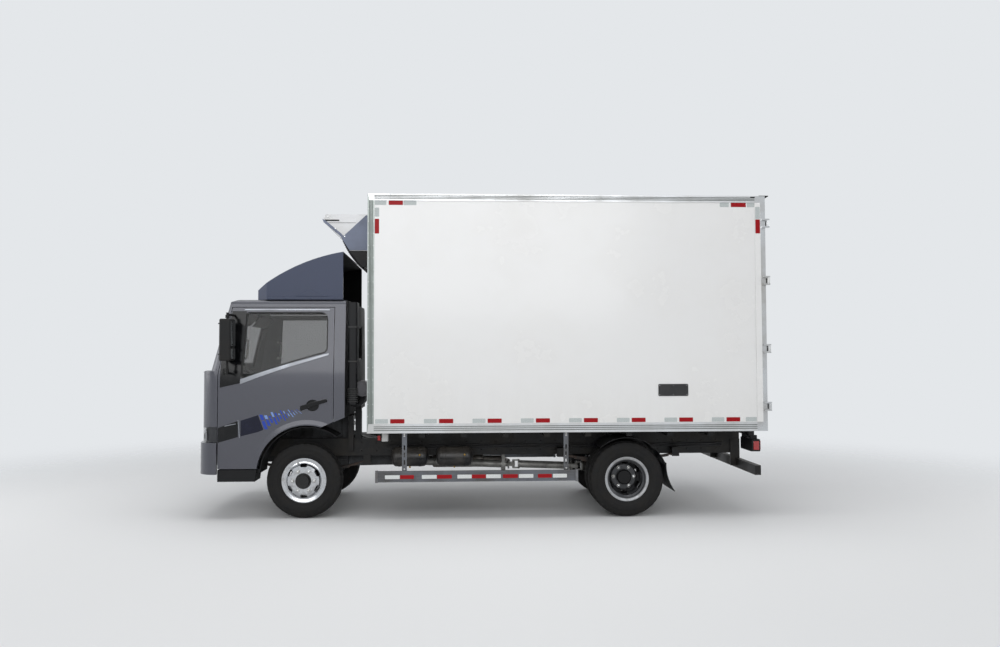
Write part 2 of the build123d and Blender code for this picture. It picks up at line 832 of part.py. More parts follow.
# Rear frame of the box: steel posts, header and sill round the door opening
frame_x = (box_rear_x, panel_rear_x)
opening_half_width = box_half_width - frame_post
opening_z = (box_bottom_z + 76, box_top_z - 110)
hinge_pin_x = box_rear_x - 22
hinge_pin_y = box_half_width + 24
hinge_pin_radius = 9
hinge_height = 60
hinge_gap = 2.5
hinge_lug = 14
hinge_levels = (
    opening_z[0] + 180,
    opening_z[0] + 780,
    opening_z[1] - 780,
    opening_z[1] - 180,
)
with BuildPart() as box_door_frame:
    for level in hinge_levels:
        lug_reach = hinge_height / 2 + hinge_gap
        rod(
            (hinge_pin_x, hinge_pin_y, level - lug_reach - hinge_lug),
            (hinge_pin_x, hinge_pin_y, level + lug_reach + hinge_lug),
            hinge_pin_radius,
        )
        for low in (level - lug_reach - hinge_lug, level + lug_reach):
            block(
                (hinge_pin_x - 12, box_rear_x + 40),
                (box_half_width - 1, hinge_pin_y + 12),
                (low, low + hinge_lug),
            )
    mirror(about=Plane.XZ)
    block(frame_x, (-box_half_width, box_half_width), (box_bottom_z, box_top_z))
    block(
        frame_x,
        (-opening_half_width, opening_half_width),
        opening_z,
        mode=Mode.SUBTRACT,
    )
    block(
        (door_plane_x, frame_x[1]),
        (-wall_inner_y, wall_inner_y),
        (floor_top_z, roof_inner_z),
        mode=Mode.SUBTRACT,
    )

# Rear doors: two leaves that meet at the middle of the opening
leaf_edge_gap = 8
with BuildPart() as box_left_door:
    block(
        (box_rear_x, door_plane_x - 1),
        (door_gap / 2, opening_half_width - leaf_edge_gap),
        (opening_z[0] + leaf_edge_gap, opening_z[1] - leaf_edge_gap),
    )

# Door gear: two lock bars a leaf, with their cams, handles and the hinge straps
lock_bar_radius = 11
lock_bar_x = box_rear_x - 20
lock_bars_y = (250, 760)
with BuildPart() as box_left_door_gear:
    for bar_y in lock_bars_y:
        rod(
            (lock_bar_x, bar_y, opening_z[0] - 40),
            (lock_bar_x, bar_y, opening_z[1] + 40),
            lock_bar_radius,
        )
        for level in (opening_z[0] + 250, 2050, opening_z[1] - 250):
            block(
                (box_rear_x - 34, box_rear_x),
                (bar_y - 40, bar_y + 40),
                (level - 22, level + 22),
            )
        block(
            (lock_bar_x - 16, lock_bar_x - 4),
            (bar_y - 200, bar_y + 10),
            (1485, 1515),
        )
    for level in hinge_levels:
        strap_z = (level - hinge_height / 2, level + hinge_height / 2)
        block((box_rear_x - 20, box_rear_x - 6), (opening_half_width - 240, hinge_pin_y), strap_z)
        block((box_rear_x - 7, box_rear_x), (opening_half_width - 240, opening_half_width - 20), strap_z)
        rod(
            (hinge_pin_x, hinge_pin_y, level - hinge_height / 2),
            (hinge_pin_x, hinge_pin_y, level + hinge_height / 2),
            14,
        )
        rod(
            (hinge_pin_x, hinge_pin_y, level - hinge_height / 2),
            (hinge_pin_x, hinge_pin_y, level + hinge_height / 2),
            hinge_pin_radius + pin_clearance,
            mode=Mode.SUBTRACT,
        )


# Fridge unit: a wedge that leans out from the front wall over the cab, with its grille below
unit_half_width = 650
unit_corner = 60
unit_back_x = box_front_x - edge_sheet + seat_clearance
unit_profile = (
    (unit_back_x, 2640),
    (box_front_x + 125, 2668),
    (box_front_x + 245, 2830),
    (box_front_x + 325, 2975),
    (box_front_x + 520, 3130),
    (box_front_x + 532, 3165),
    (box_front_x + 500, 3215),
    (unit_back_x, 3215),
)
with BuildPart() as fridge_unit:
    side_prism(unit_profile, (-unit_half_width, unit_half_width))
    with BuildSketch(Plane.XY.offset(unit_profile[0][1] - 10)) as plan:
        with Locations((box_front_x + 256, 0)):
            Rectangle(552, 2 * unit_half_width)
        fillet(plan.vertices().group_by(Axis.X)[-1], radius=unit_corner)
    extrude(plan.sketch, amount=700, mode=Mode.INTERSECT)

# Evaporator: the cooling unit's inner half, hung under the roof behind the front wall
with BuildPart() as evaporator:
    side_prism(
        (
            (front_inner_x - seat_clearance, roof_inner_z - seat_clearance),
            (front_inner_x - 560, roof_inner_z - seat_clearance),
            (front_inner_x - 560, roof_inner_z - 90),
            (front_inner_x - 420, roof_inner_z - 230),
            (front_inner_x - seat_clearance, roof_inner_z - 230),
        ),
        (-600, 600),
    )

# Side guards: one ribbed rail along each side on two posts from the subframe
guard_x = (front_axle_x - 2840, front_axle_x - 758)
guard_y = (1010, 1042)
guard_z = (392, 504)
guard_posts_x = (front_axle_x - 2725, front_axle_x - 1050)
guard_slots_z = (590, 665, 740)
with BuildPart() as side_guards:
    block(guard_x, guard_y, guard_z)
    for level in (0.22, 0.5, 0.78):
        groove_z = guard_z[0] + level * (guard_z[1] - guard_z[0])
        block(guard_x, (guard_y[1] - 6, guard_y[1]), (groove_z - 7, groove_z + 7), Mode.SUBTRACT)
    for cap_x in ((guard_x[0] - 4, guard_x[0] + 22), (guard_x[1] - 22, guard_x[1] + 4)):
        block(
            cap_x, (guard_y[0] - 4, guard_y[1] + 4), (guard_z[0] - 5, guard_z[1] + 5)
        )
    for post_x in guard_posts_x:
        block(
            (post_x - 25, post_x + 25),
            (guard_y[0] - 30, guard_y[0] - 8),
            (guard_z[0] + 10, box_bottom_z - seat_clearance),
        )
        block(
            (post_x - 25, post_x + 25),
            (guard_y[0] - 9, guard_y[0]),
            (guard_z[0] + 10, guard_z[1] + 30),
        )
        for slot_z in guard_slots_z:
            block(
                (post_x - 7, post_x + 7),
                (guard_y[0] - 31, guard_y[0] - 7),
                (slot_z - 24, slot_z + 24),
                Mode.SUBTRACT,
            )
    mirror(about=Plane.XZ)

# Rear underrun bar on two hangers from the frame's rear end
underrun_x = (-2915, -2855)
underrun_z = (430, 530)
with BuildPart() as rear_underrun_bar:
    block(underrun_x, (-1020, 1020), underrun_z)
    for side in (-1, 1):
        hanger_y = side * (rail_outer_y + 7 + seat_clearance)
        block(
            (underrun_x[0] + 15, underrun_x[1] + 60),
            (min(hanger_y - 7, hanger_y + 7), max(hanger_y - 7, hanger_y + 7)),
            (underrun_z[0] + 20, rail_top_z - 30),
        )

# Rear lamp clusters on brackets under the rear corners of the box
lamp_x = (box_rear_x + 40, box_rear_x + 130)
lamp_z = (672, 800)
with BuildPart() as tail_lamps:
    block(lamp_x, (640, 1000), lamp_z)
    fillet(edges().filter_by(Axis.X), radius=18)
    for strap_y in (700, 940):
        block(
            (lamp_x[0] + 20, lamp_x[1]),
            (strap_y - 20, strap_y + 20),
            (lamp_z[1] - 5, bearer_low_z),
        )
    mirror(about=Plane.XZ)

# Rear mudguards: a curved sheet over each pair of wheels, with a flap behind
guard_radius = tyre_radius + 38
guard_sheet = 6
guard_inner_y = dual_disc_y - dual_offset - tyre_width / 2 - 4
guard_outer_y = dual_disc_y + dual_offset + tyre_width / 2 + 4
with BuildPart() as rear_mudguards:
    with BuildSketch(Plane.XZ.offset(-guard_outer_y)):
        with BuildLine():
            near = CenterArc((rear_axle_x, axle_z), guard_radius, 50, 112)
            far = CenterArc((rear_axle_x, axle_z), guard_radius + guard_sheet, 50, 112)
            Line(near @ 0, far @ 0)
            Line(near @ 1, far @ 1)
        make_face()
    extrude(amount=guard_outer_y - guard_inner_y)
    flap_top = (
        rear_axle_x - guard_radius * cos(radians(20)),
        axle_z + guard_radius * sin(radians(20)),
    )
    with BuildSketch(Plane.XZ.offset(-guard_outer_y)) as flap:
        with BuildLine():
            flap_foot = (flap_top[0] - 92, 262)
            flap_middle = (flap_top[0] - 22, (flap_top[1] + 262) / 2)
            near = ThreePointArc((flap_top[0] - 2, flap_top[1] + 20), flap_middle, flap_foot)
            far = ThreePointArc(
                (flap_top[0] - 11, flap_top[1] + 20),
                (flap_middle[0] - 9, flap_middle[1]),
                (flap_foot[0] - 9, flap_foot[1]),
            )
            Line(near @ 0, far @ 0)
            Line(near @ 1, far @ 1)
        make_face()
    extrude(flap.sketch, amount=guard_outer_y - guard_inner_y, dir=(0, -1, 0))
    stay_z = (axle_z + guard_radius - 18, axle_z + guard_radius + 4)
    for stay_x in (rear_axle_x - 120, rear_axle_x + 120):
        block((stay_x - 12, stay_x + 12), (rail_outer_y, guard_inner_y + 40), stay_z)
    mirror(about=Plane.XZ)

# Air intake: a flat duct up the back of the cab and the cleaner it feeds
intake_x = (front_axle_x - 548, front_axle_x - 456)
with BuildPart() as air_intake:
    block(intake_x, (700, 900), (1180, 2250))
    fillet(edges().filter_by(Axis.Z), radius=20)
    rod((intake_x[0] + 30, 420, 1230), (intake_x[0] + 30, 705, 1230), 88)
    block(
        (intake_x[0] + 10, intake_x[1] - 20),
        (rail_outer_y - 40, rail_outer_y + 50),
        (rail_top_z, 1200),
    )

# Cab form: an upright lower body and a raked upper one, each bowed across the front with
# round corners, narrowed towards the roof. front, bow of the front, corner length, corner width
lower_plan = (1105, 52, 185, 175)
upper_plan = (1020, 66, 105, 145)
windscreen_rake = 202
side_lean = 82
roof_round = 55
belt_round = 2200
roof_brow = (690, 900, 75)
cab_length = 1700


def cab_plan(plan, height, inset):
    """Returns one plan of the cab at a height, drawn in on every side."""
    front, bow, corner_x, corner_y = plan
    side = cab_half_width - inset
    nose = front_axle_x + front - inset
    back = cab_back_x - 400
    with BuildSketch(Plane.XY.offset(height)) as section:
        with BuildLine():
            left = (nose - bow, side - corner_y)
            right = (nose - bow, corner_y - side)
            ThreePointArc(right, (nose, 0), left)
            TangentArc((nose - bow - corner_x, side), left, tangent=(1, 0))
            TangentArc((nose - bow - corner_x, -side), right, tangent=(1, 0))
            Line((nose - bow - corner_x, side), (back, side))
            Line((nose - bow - corner_x, -side), (back, -side))
            Line((back, side), (back, -side))
        make_face()
    return section.sketch


def cab_form(inset):
    """Returns the cab's closed outside form, drawn in by an inset on every face."""
    foot_z = cab_bottom_z - 60
    roof_z = cab_roof_z - inset
    with BuildPart() as form:
        extrude(cab_plan(lower_plan, foot_z, inset), amount=windscreen_base_z - foot_z, dir=(0, 0, 1))
        cowl = (
            (front_axle_x + lower_plan[0] + 50, belt_z - inset),
            (front_axle_x + lower_plan[0], belt_z - inset),
            (front_axle_x + upper_plan[0], windscreen_base_z - inset),
            (front_axle_x + upper_plan[0] - 300, windscreen_base_z - inset),
            (front_axle_x + upper_plan[0] - 300, windscreen_base_z + 50),
            (front_axle_x + lower_plan[0] + 50, windscreen_base_z + 50),
        )
        side_prism(cowl, (-cab_half_width - 50, cab_half_width + 50), Mode.SUBTRACT)
        rake = Vector(-windscreen_rake, 0, cab_roof_z - windscreen_base_z)
        base_z = windscreen_base_z - inset - 40
        lean_back = windscreen_rake * (inset + 40) / (cab_roof_z - windscreen_base_z)
        extrude(
            cab_plan((upper_plan[0] + lean_back,) + upper_plan[1:], base_z, inset),
            amount=(roof_z - base_z) / rake.Z * rake.length,
            dir=rake,
        )
        width_low = cab_half_width - inset
        width_high = cab_half_width - side_lean - inset
        with BuildSketch(Plane.YZ.offset(cab_back_x + inset)) as front_view:
            with BuildLine():
                Polyline(
                    (-width_low, foot_z),
                    (width_low, foot_z),
                    (width_low, belt_z),
                    (width_high, roof_z),
                    (-width_high, roof_z),
                    (-width_low, belt_z),
                    close=True,
                )
            make_face()
            fillet(front_view.vertices().group_by(Axis.Y)[-1], radius=roof_round)
            fillet(front_view.vertices().group_by(Axis.Y)[1], radius=belt_round)
        extrude(front_view.sketch, amount=cab_length, dir=(1, 0, 0), mode=Mode.INTERSECT)
        with BuildSketch(Plane.XZ.offset(-cab_half_width - 50)) as side_view:
            with BuildLine():
                brow = (front_axle_x + roof_brow[0], roof_z)
                brow_foot = (front_axle_x + roof_brow[1], roof_z - roof_brow[2])
                Polyline(
                    (cab_back_x - 50, foot_z - 50),
                    (cab_back_x - 50, roof_z),
                    brow,
                    brow_foot,
                    (cab_back_x + cab_length, brow_foot[1]),
                    (cab_back_x + cab_length, foot_z - 50),
                    close=True,
                )
            make_face()
            fillet(side_view.vertices().sort_by_distance((*brow, 0))[0], radius=180)
        extrude(
            side_view.sketch,
            amount=2 * cab_half_width + 100,
            dir=(0, -1, 0),
            mode=Mode.INTERSECT,
        )
    return form.part


cab_outside = cab_form(0)
cab_behind_skin = cab_form(cab_skin)
cab_behind_skin_clear = cab_form(cab_skin + seat_clearance)
cab_inside = cab_form(cab_wall)
cab_lining = cab_form(cab_wall + seat_clearance)
with BuildPart() as cab_shell:
    add(cab_outside)
    add(cab_inside, mode=Mode.SUBTRACT)

# Outline of the door and of its window, seen from the side
arch_rear = (-186, 947)
arch_mid = (
    arch_x - front_axle_x + arch_radius * cos(radians(60)),
    arch_z + arch_radius * sin(radians(60)),
)
arch_front = (464, door_bottom_z)
window_front_low = (640, 1445)
window_rear_low = (-249, 1712)


def from_axle(point):
    """Moves a (forward, height) point measured from the front axle into the truck's frame."""
    return (front_axle_x + point[0], point[1])


def door_prism(grow, mode):
    """Extrudes the left door's outline through the cab's side, grown or drawn in all round."""
    with BuildSketch(Plane.XZ.offset(-cab_half_width - 40)) as outline:
        with BuildLine():
            Polyline(
                from_axle(arch_front),
                (door_front_x, door_bottom_z),
                (door_front_x, belt_z + 10),
                (front_axle_x + 742, door_top_z),
                (door_rear_x, door_top_z),
                (door_rear_x, 1003),
                from_axle(arch_rear),
            )
            ThreePointArc(from_axle(arch_rear), from_axle(arch_mid), from_axle(arch_front))
        make_face()
        offset(amount=grow, kind=Kind.INTERSECTION, mode=Mode.REPLACE)
    extrude(outline.sketch, amount=200, dir=(0, -1, 0), mode=mode)


def door_window(grow, y, mode):
    """Extrudes the door window's outline between two distances to the left."""
    with BuildSketch(Plane.XZ.offset(-y[1])) as outline:
        with BuildLine():
            Polyline(
                from_axle((window_rear_low[0], 1725)),
                from_axle((window_rear_low[0], door_top_z - 50)),
                from_axle((596, door_top_z - 50)),
                from_axle(window_front_low),
            )
            ThreePointArc(
                from_axle(window_front_low),
                from_axle((187, 1600)),
                from_axle((window_rear_low[0], 1725)),
            )
        make_face()
        fillet(vertices(), radius=28)
        if grow:
            offset(amount=grow, mode=Mode.REPLACE)
    extrude(outline.sketch, amount=y[1] - y[0], dir=(0, -1, 0), mode=mode)


# Arch lip: a band pressed outward round the wheel arch, fading into the skin. radius, y
arch_lip_section = (
    (arch_radius - 30, cab_half_width - 15),
    (arch_radius - 30, cab_half_width + 9),
    (arch_radius + 14, cab_half_width + 9),
    (arch_radius + 62, cab_half_width - 1),
    (arch_radius + 62, cab_half_width - 15),
)
with BuildPart() as arch_lip:
    with BuildSketch(Plane(origin=(arch_x, 0, arch_z), x_dir=(1, 0, 0), z_dir=(0, 0, 1))) as band:
        with BuildLine():
            Polyline(*arch_lip_section, close=True)
        make_face()
    revolve(band.sketch, axis=Axis((arch_x, 0, arch_z), (0, 1, 0)))

# Cab door: pressed skin and frame as one wall, with a window and a handle across a round cup.
# The handle's outline is measured from the front axle, its front end low
handle_outline = ((26, 1118), (26, 1172), (-120, 1218), (-250, 1247), (-250, 1212), (-110, 1168))
cup_centre = (-100, 1176)
cup_radii = (66, 60)
cup_depth = 24
handle_proud = 16
with BuildPart() as door_handle:
    with BuildSketch(Plane.XZ.offset(-cab_half_width - handle_proud)) as grip:
        with BuildLine():
            Polyline(*(from_axle(point) for point in handle_outline), close=True)
        make_face()
        fillet(grip.vertices(), radius=12)
    extrude(grip.sketch, amount=handle_proud + cup_depth + 2, dir=(0, -1, 0))
    chamfer(faces().sort_by(Axis.Y)[-1].edges(), length=5)

with BuildPart() as left_cab_door:
    add(cab_shell.part)
    add(arch_lip.part)
    door_prism(-running_gap / 2, Mode.INTERSECT)
    door_window(0, (700, 1000), Mode.SUBTRACT)
    with BuildSketch(Plane.XZ.offset(-cab_half_width - 2)) as cup:
        with Locations(from_axle(cup_centre)):
            Ellipse(*cup_radii)
    extrude(cup.sketch, amount=cup_depth + 2, dir=(0, -1, 0), mode=Mode.SUBTRACT)
    add(door_handle.part)

# Door glass in the middle of the door's thickness
glass_thickness = 5
glass_outer = cab_form(cab_wall / 2 - glass_thickness / 2)
glass_inner = cab_form(cab_wall / 2 + glass_thickness / 2)
with BuildPart() as left_door_glass:
    add(glass_outer)
    add(glass_inner, mode=Mode.SUBTRACT)
    door_window(-seat_clearance, (700, 1000), Mode.INTERSECT)

# Mirror: a tall housing on two arms from the door's front corner
mirror_x = (front_axle_x + 672, front_axle_x + 792)
mirror_y = (1030, 1215)
mirror_z = (1640, 2065)
with BuildPart() as left_mirror:
    block(mirror_x, mirror_y, mirror_z)
    fillet(edges().filter_by(Axis.Z), radius=28)
    fillet(edges().filter_by(Plane.XY), radius=16)
    for arm_z_at, root_x in ((1520, front_axle_x + 790), (2110, front_axle_x + 715)):
        root_y = cab_half_width - 2 if arm_z_at < 1600 else 902
        rod((root_x, root_y, arm_z_at), (front_axle_x + 730, 1120, arm_z_at), 12)
    rod((front_axle_x + 730, 1120, 1500), (front_axle_x + 730, 1120, 2130), 13)
    add(cab_outside, mode=Mode.SUBTRACT)

# Windscreen and rear window openings, seen from the front
screen_half_low = 800
screen_half_high = 742
screen_z = (windscreen_base_z + 14, 2150)
rear_window = (-600, 600, 1640, 2040)


def screen_prism(grow, mode):
    """Extrudes the windscreen's outline forward through the cab's front."""
    with BuildSketch(Plane.YZ.offset(front_axle_x + 600)) as outline:
        with BuildLine():
            Polyline(
                (-screen_half_low, screen_z[0]),
                (screen_half_low, screen_z[0]),
                (screen_half_high, screen_z[1]),
                (-screen_half_high, screen_z[1]),
                close=True,
            )
        make_face()
        fillet(vertices(), radius=50)
        if grow:
            offset(amount=grow, mode=Mode.REPLACE)
    extrude(outline.sketch, amount=600, dir=(1, 0, 0), mode=mode)


# Cab frame: pillars, roof rails, rear quarters, rear wall and the wall behind the front panel
front_zone_x = (door_front_x + running_gap / 2, front_axle_x + 1200)
panel_low_z = 800
quarter_inner_y = 870
cab_rear_wall_z = 1051
with BuildPart() as side_openings:
    door_prism(running_gap / 2, Mode.ADD)
    side_prism(
        (
            (cab_back_x - 20, 1059),
            from_axle((-186, 947)),
            from_axle((-180, 1000)),
            from_axle((470, 1000)),
            from_axle((470, 400)),
            (cab_back_x - 20, 400),
        ),
        (quarter_inner_y, 1000),
    )
    mirror(about=Plane.XZ)

with BuildPart() as front_skin_zone:
    add(cab_outside)
    add(cab_behind_skin_clear, mode=Mode.SUBTRACT)
    block(front_zone_x, (-1000, 1000), (cab_bottom_z - 100, belt_z), Mode.INTERSECT)

with BuildPart() as cab_frame:
    add(cab_shell.part)
    block(
        (cab_back_x - 10, front_axle_x + 1200),
        (-1000, 1000),
        (cab_bottom_z - 70, panel_low_z),
        Mode.SUBTRACT,
    )
    block(
        (cab_back_x - 10, front_axle_x + 1200),
        (-1000, 1000),
        (roof_split_z, cab_roof_z + 10),
        Mode.SUBTRACT,
    )
    block(
        (cab_back_x - 10, front_axle_x + 300),
        (-quarter_inner_y, quarter_inner_y),
        (cab_bottom_z - 70, cab_rear_wall_z),
        Mode.SUBTRACT,
    )
    add(side_openings.part, mode=Mode.SUBTRACT)
    add(front_skin_zone.part, mode=Mode.SUBTRACT)
    screen_prism(0, Mode.SUBTRACT)
    block(
        (cab_back_x - 10, cab_back_x + cab_wall + 10),
        (rear_window[0], rear_window[1]),
        (rear_window[2], rear_window[3]),
        Mode.SUBTRACT,
    )

# Glass: windscreen and rear window
with BuildPart() as cab_glass:
    add(glass_outer)
    add(glass_inner, mode=Mode.SUBTRACT)
    screen_prism(-seat_clearance, Mode.INTERSECT)
    block(
        (cab_back_x + 20, cab_back_x + 20 + glass_thickness),
        (rear_window[0] + seat_clearance, rear_window[1] - seat_clearance),
        (rear_window[2] + seat_clearance, rear_window[3] - seat_clearance),
    )

# Roof panel
with BuildPart() as cab_roof:
    add(cab_shell.part)
    block(
        (cab_back_x - 10, front_axle_x + 1200),
        (-1000, 1000),
        (roof_split_z, cab_roof_z + 10),
        Mode.INTERSECT,
    )

# Headlamps at the front corners, above the bumper, narrowed towards the middle. y, z
lamp_inner_y = 540
lamp_outline = (
    (1010, panel_low_z + 3),
    (1010, 968),
    (lamp_inner_y, 905),
    (lamp_inner_y + 60, panel_low_z + 3),
)
front_skin_x = (door_front_x + running_gap, front_axle_x + 1200)


def lamp_prism(grow, mode):
    """Extrudes the left headlamp's outline forward, grown all round."""
    with BuildSketch(Plane.YZ.offset(front_skin_x[0])) as outline:
        with BuildLine():
            Polyline(*lamp_outline, close=True)
        make_face()
        if grow:
            offset(amount=grow, kind=Kind.INTERSECTION, mode=Mode.REPLACE)
    extrude(outline.sketch, amount=front_skin_x[1] - front_skin_x[0], dir=(1, 0, 0), mode=mode)


with BuildPart() as headlamps:
    add(cab_outside)
    add(cab_behind_skin, mode=Mode.SUBTRACT)
    lamp_prism(0, Mode.INTERSECT)
    mirror(about=Plane.XZ)

# Front panel between the bumper and the windscreen, with its corner panels and sunk slots
grille_levels = (1000, 1060, 1120)
grille_half_width = 520
grille_depth = 9
with BuildPart() as lamp_holes:
    lamp_prism(3, Mode.ADD)
    mirror(about=Plane.XZ)

with BuildPart() as grille_slots:
    for level in grille_levels:
        block(front_skin_x, (-grille_half_width, grille_half_width), (level, level + 36))
    add(cab_form(grille_depth), mode=Mode.SUBTRACT)

with BuildPart() as front_panel:
    add(cab_outside)
    add(cab_behind_skin, mode=Mode.SUBTRACT)
    block(front_skin_x, (-1000, 1000), (panel_low_z, belt_z - 1), Mode.INTERSECT)
    add(lamp_holes.part, mode=Mode.SUBTRACT)
    add(grille_slots.part, mode=Mode.SUBTRACT)

# Bumper: wraps the front below the panel, a little proud of it
bumper_proud = 20
bracket_y = 500
with BuildPart() as front_bumper:
    add(cab_form(-bumper_proud))
    add(cab_behind_skin, mode=Mode.SUBTRACT)
    block(front_skin_x, (-1100, 1100), (cab_bottom_z, panel_low_z - 3), Mode.INTERSECT)
    block((front_axle_x + 900, front_axle_x + 1200), (-420, 420), (590, 720), Mode.SUBTRACT)
    for side in (-1, 1):
        bracket_side = (side * bracket_y - 20, side * bracket_y + 20)
        block((front_axle_x + 1000, front_axle_x + 1075), bracket_side, (700, 770))
        block(
            (front_axle_x + 1000, front_axle_x + 1030),
            bracket_side,
            (700, cab_floor_z - seat_clearance),
        )

# Cab floor: foot well, riser and seat deck in one sheet, with the arms of the tilt pivot
floor_half_width = cab_half_width - cab_wall - running_gap
riser_x = front_axle_x + 360
with BuildPart() as cab_floor:
    side_prism(
        (
            (front_axle_x + 1080, cab_floor_z),
            (front_axle_x + 1080, cab_floor_z + cab_floor_sheet),
            (riser_x + cab_floor_sheet, cab_floor_z + cab_floor_sheet),
            (riser_x + cab_floor_sheet, seat_deck_z + cab_floor_sheet),
            (cab_back_x, seat_deck_z + cab_floor_sheet),
            (cab_back_x, seat_deck_z),
            (riser_x, seat_deck_z),
            (riser_x, cab_floor_z),
        ),
        (-floor_half_width, floor_half_width),
    )
    add(cab_lining, mode=Mode.INTERSECT)
    for side in (-1, 1):
        arm_y = (rail_outer_y + 18, rail_outer_y + 42)
        low_y = min(side * arm_y[0], side * arm_y[1])
        high_y = max(side * arm_y[0], side * arm_y[1])
        block((tilt_pivot_x - 34, tilt_pivot_x + 34), (low_y, high_y), (tilt_pivot_z, cab_floor_z + 2))
        rod((tilt_pivot_x, low_y, tilt_pivot_z), (tilt_pivot_x, high_y, tilt_pivot_z), 34)
        rod(
            (tilt_pivot_x, low_y, tilt_pivot_z),
            (tilt_pivot_x, high_y, tilt_pivot_z),
            tilt_pin_radius + pin_clearance,
            Mode.SUBTRACT,
        )

# Front arches: a liner over each wheel and the step ahead of it
liner_radius = arch_radius - 26
with BuildPart() as front_arches:
    with BuildSketch(Plane.XZ.offset(-(floor_half_width - 4))):
        with BuildLine():
            near = CenterArc((arch_x, arch_z), liner_radius, 2, 126)
            far = CenterArc((arch_x, arch_z), liner_radius + 8, 2, 126)
            Line(near @ 0, far @ 0)
            Line(near @ 1, far @ 1)
        make_face()
    extrude(amount=330)
    side_prism(
        (
            (front_axle_x + 486, 398),
            (door_front_x, 398),
            (door_front_x, door_bottom_z - 8),
            (front_axle_x + 470, door_bottom_z - 8),
        ),
        (700, cab_half_width - 10),
    )
    block(
        (front_axle_x + 444, front_axle_x + 500),
        (700, floor_half_width - 4),
        (480, door_bottom_z - 8),
    )
    block((front_axle_x + 470, door_front_x), (700, 712), (door_bottom_z - 9, cab_floor_z - seat_clearance))
    mirror(about=Plane.XZ)

# Roof fairing: a thin shell that rises from the roof to the box, open behind
fairing_nose = (541, 2345)
fairing_mid = (60, 2648)
fairing_rear = (-395, 2785)
fairing_sheet = 14
fairing_half_width = 860
fairing_foot_z = cab_roof_z + seat_clearance


def fairing_form(inset):
    """Returns the fairing's closed form, drawn in by an inset."""
    with BuildPart() as form:
        with BuildSketch(Plane.XZ.offset(-fairing_half_width + inset)) as side:
            with BuildLine():
                nose = (front_axle_x + fairing_nose[0] - inset, fairing_nose[1] - inset)
                crest = (front_axle_x + fairing_mid[0], fairing_mid[1] - inset)
                rear = (front_axle_x + fairing_rear[0], fairing_rear[1] - inset)
                foot = fairing_foot_z - inset
                ThreePointArc(nose, crest, rear)
                Polyline(rear, (rear[0], foot), (nose[0] + 14, foot), nose)
            make_face()
        extrude(side.sketch, amount=2 * (fairing_half_width - inset))
        with BuildSketch(Plane.XY.offset(cab_roof_z - 60)) as plan:
            with BuildLine():
                width = fairing_half_width - inset
                back = front_axle_x + fairing_rear[0]
                ThreePointArc(
                    (front_axle_x + 500 - inset, -width + 60),
                    (front_axle_x + 590 - inset, 0),
                    (front_axle_x + 500 - inset, width - 60),
                )
                Polyline(
                    (front_axle_x + 500 - inset, width - 60),
                    (front_axle_x + 400, width),
                    (back, width),
                    (back, -width),
                    (front_axle_x + 400, -width),
                    (front_axle_x + 500 - inset, -width + 60),
                )
            make_face()
        extrude(plan.sketch, amount=700, mode=Mode.INTERSECT)
    return form.part


with BuildPart() as roof_fairing:
    add(fairing_form(0))
    add(fairing_form(fairing_sheet), mode=Mode.SUBTRACT)
    block(
        (front_axle_x - 500, front_axle_x + 700),
        (-1000, 1000),
        (fairing_foot_z - 100, fairing_foot_z),
        Mode.SUBTRACT,
    )

# Dashboard, drawn in from the windscreen
with BuildPart() as dashboard:
    side_prism(
        (
            (front_axle_x + 1030, 1200),
            (front_axle_x + 1030, 1455),
            (front_axle_x + 900, 1500),
            (front_axle_x + 740, 1470),
            (front_axle_x + 690, 1380),
            (front_axle_x + 800, 1200),
        ),
        (20 - floor_half_width, floor_half_width - 20),
    )
    add(cab_lining, mode=Mode.INTERSECT)

# Seats: the driver's and a bench beside it, each a cushion and a back on a base
seat_base_z = seat_deck_z + cab_floor_sheet + seat_clearance
with BuildPart() as seats:
    for seat_y in ((240, 760), (-760, 120)):
        side_prism(
            (
                (front_axle_x - 160, seat_base_z),
                (front_axle_x + 300, seat_base_z),
                (front_axle_x + 340, seat_base_z + 190),
                (front_axle_x - 90, seat_base_z + 150),
                (front_axle_x - 210, seat_base_z + 850),
                (front_axle_x - 330, seat_base_z + 850),
            ),
            seat_y,
        )

# Steering wheel and column
wheel_centre = (front_axle_x + 560, 500, 1470)
wheel_lean = 32
column_radius = 24
with BuildPart() as steering_wheel:
    lean = radians(wheel_lean)
    wheel_plane = Plane(origin=wheel_centre, z_dir=(-sin(lean), 0, cos(lean)))
    rim_plane = Plane(origin=wheel_centre, x_dir=(0, 1, 0), z_dir=(cos(lean), 0, sin(lean)))
    with BuildSketch(rim_plane) as rim_section:
        with Locations((210, 0)):
            Circle(14)
    revolve(rim_section.sketch, axis=Axis(wheel_centre, wheel_plane.z_dir))
    with BuildSketch(wheel_plane.offset(-10)) as spokes:
        Rectangle(400, 36)
        Circle(70)
    extrude(spokes.sketch, amount=20)
    column_foot = cab_floor_z + cab_floor_sheet + seat_clearance + column_radius * sin(lean)
    column_length = (wheel_centre[2] - column_foot) / cos(lean)
    rod(
        wheel_centre,
        (wheel_centre[0] + column_length * sin(lean), wheel_centre[1], column_foot),
        column_radius,
    )

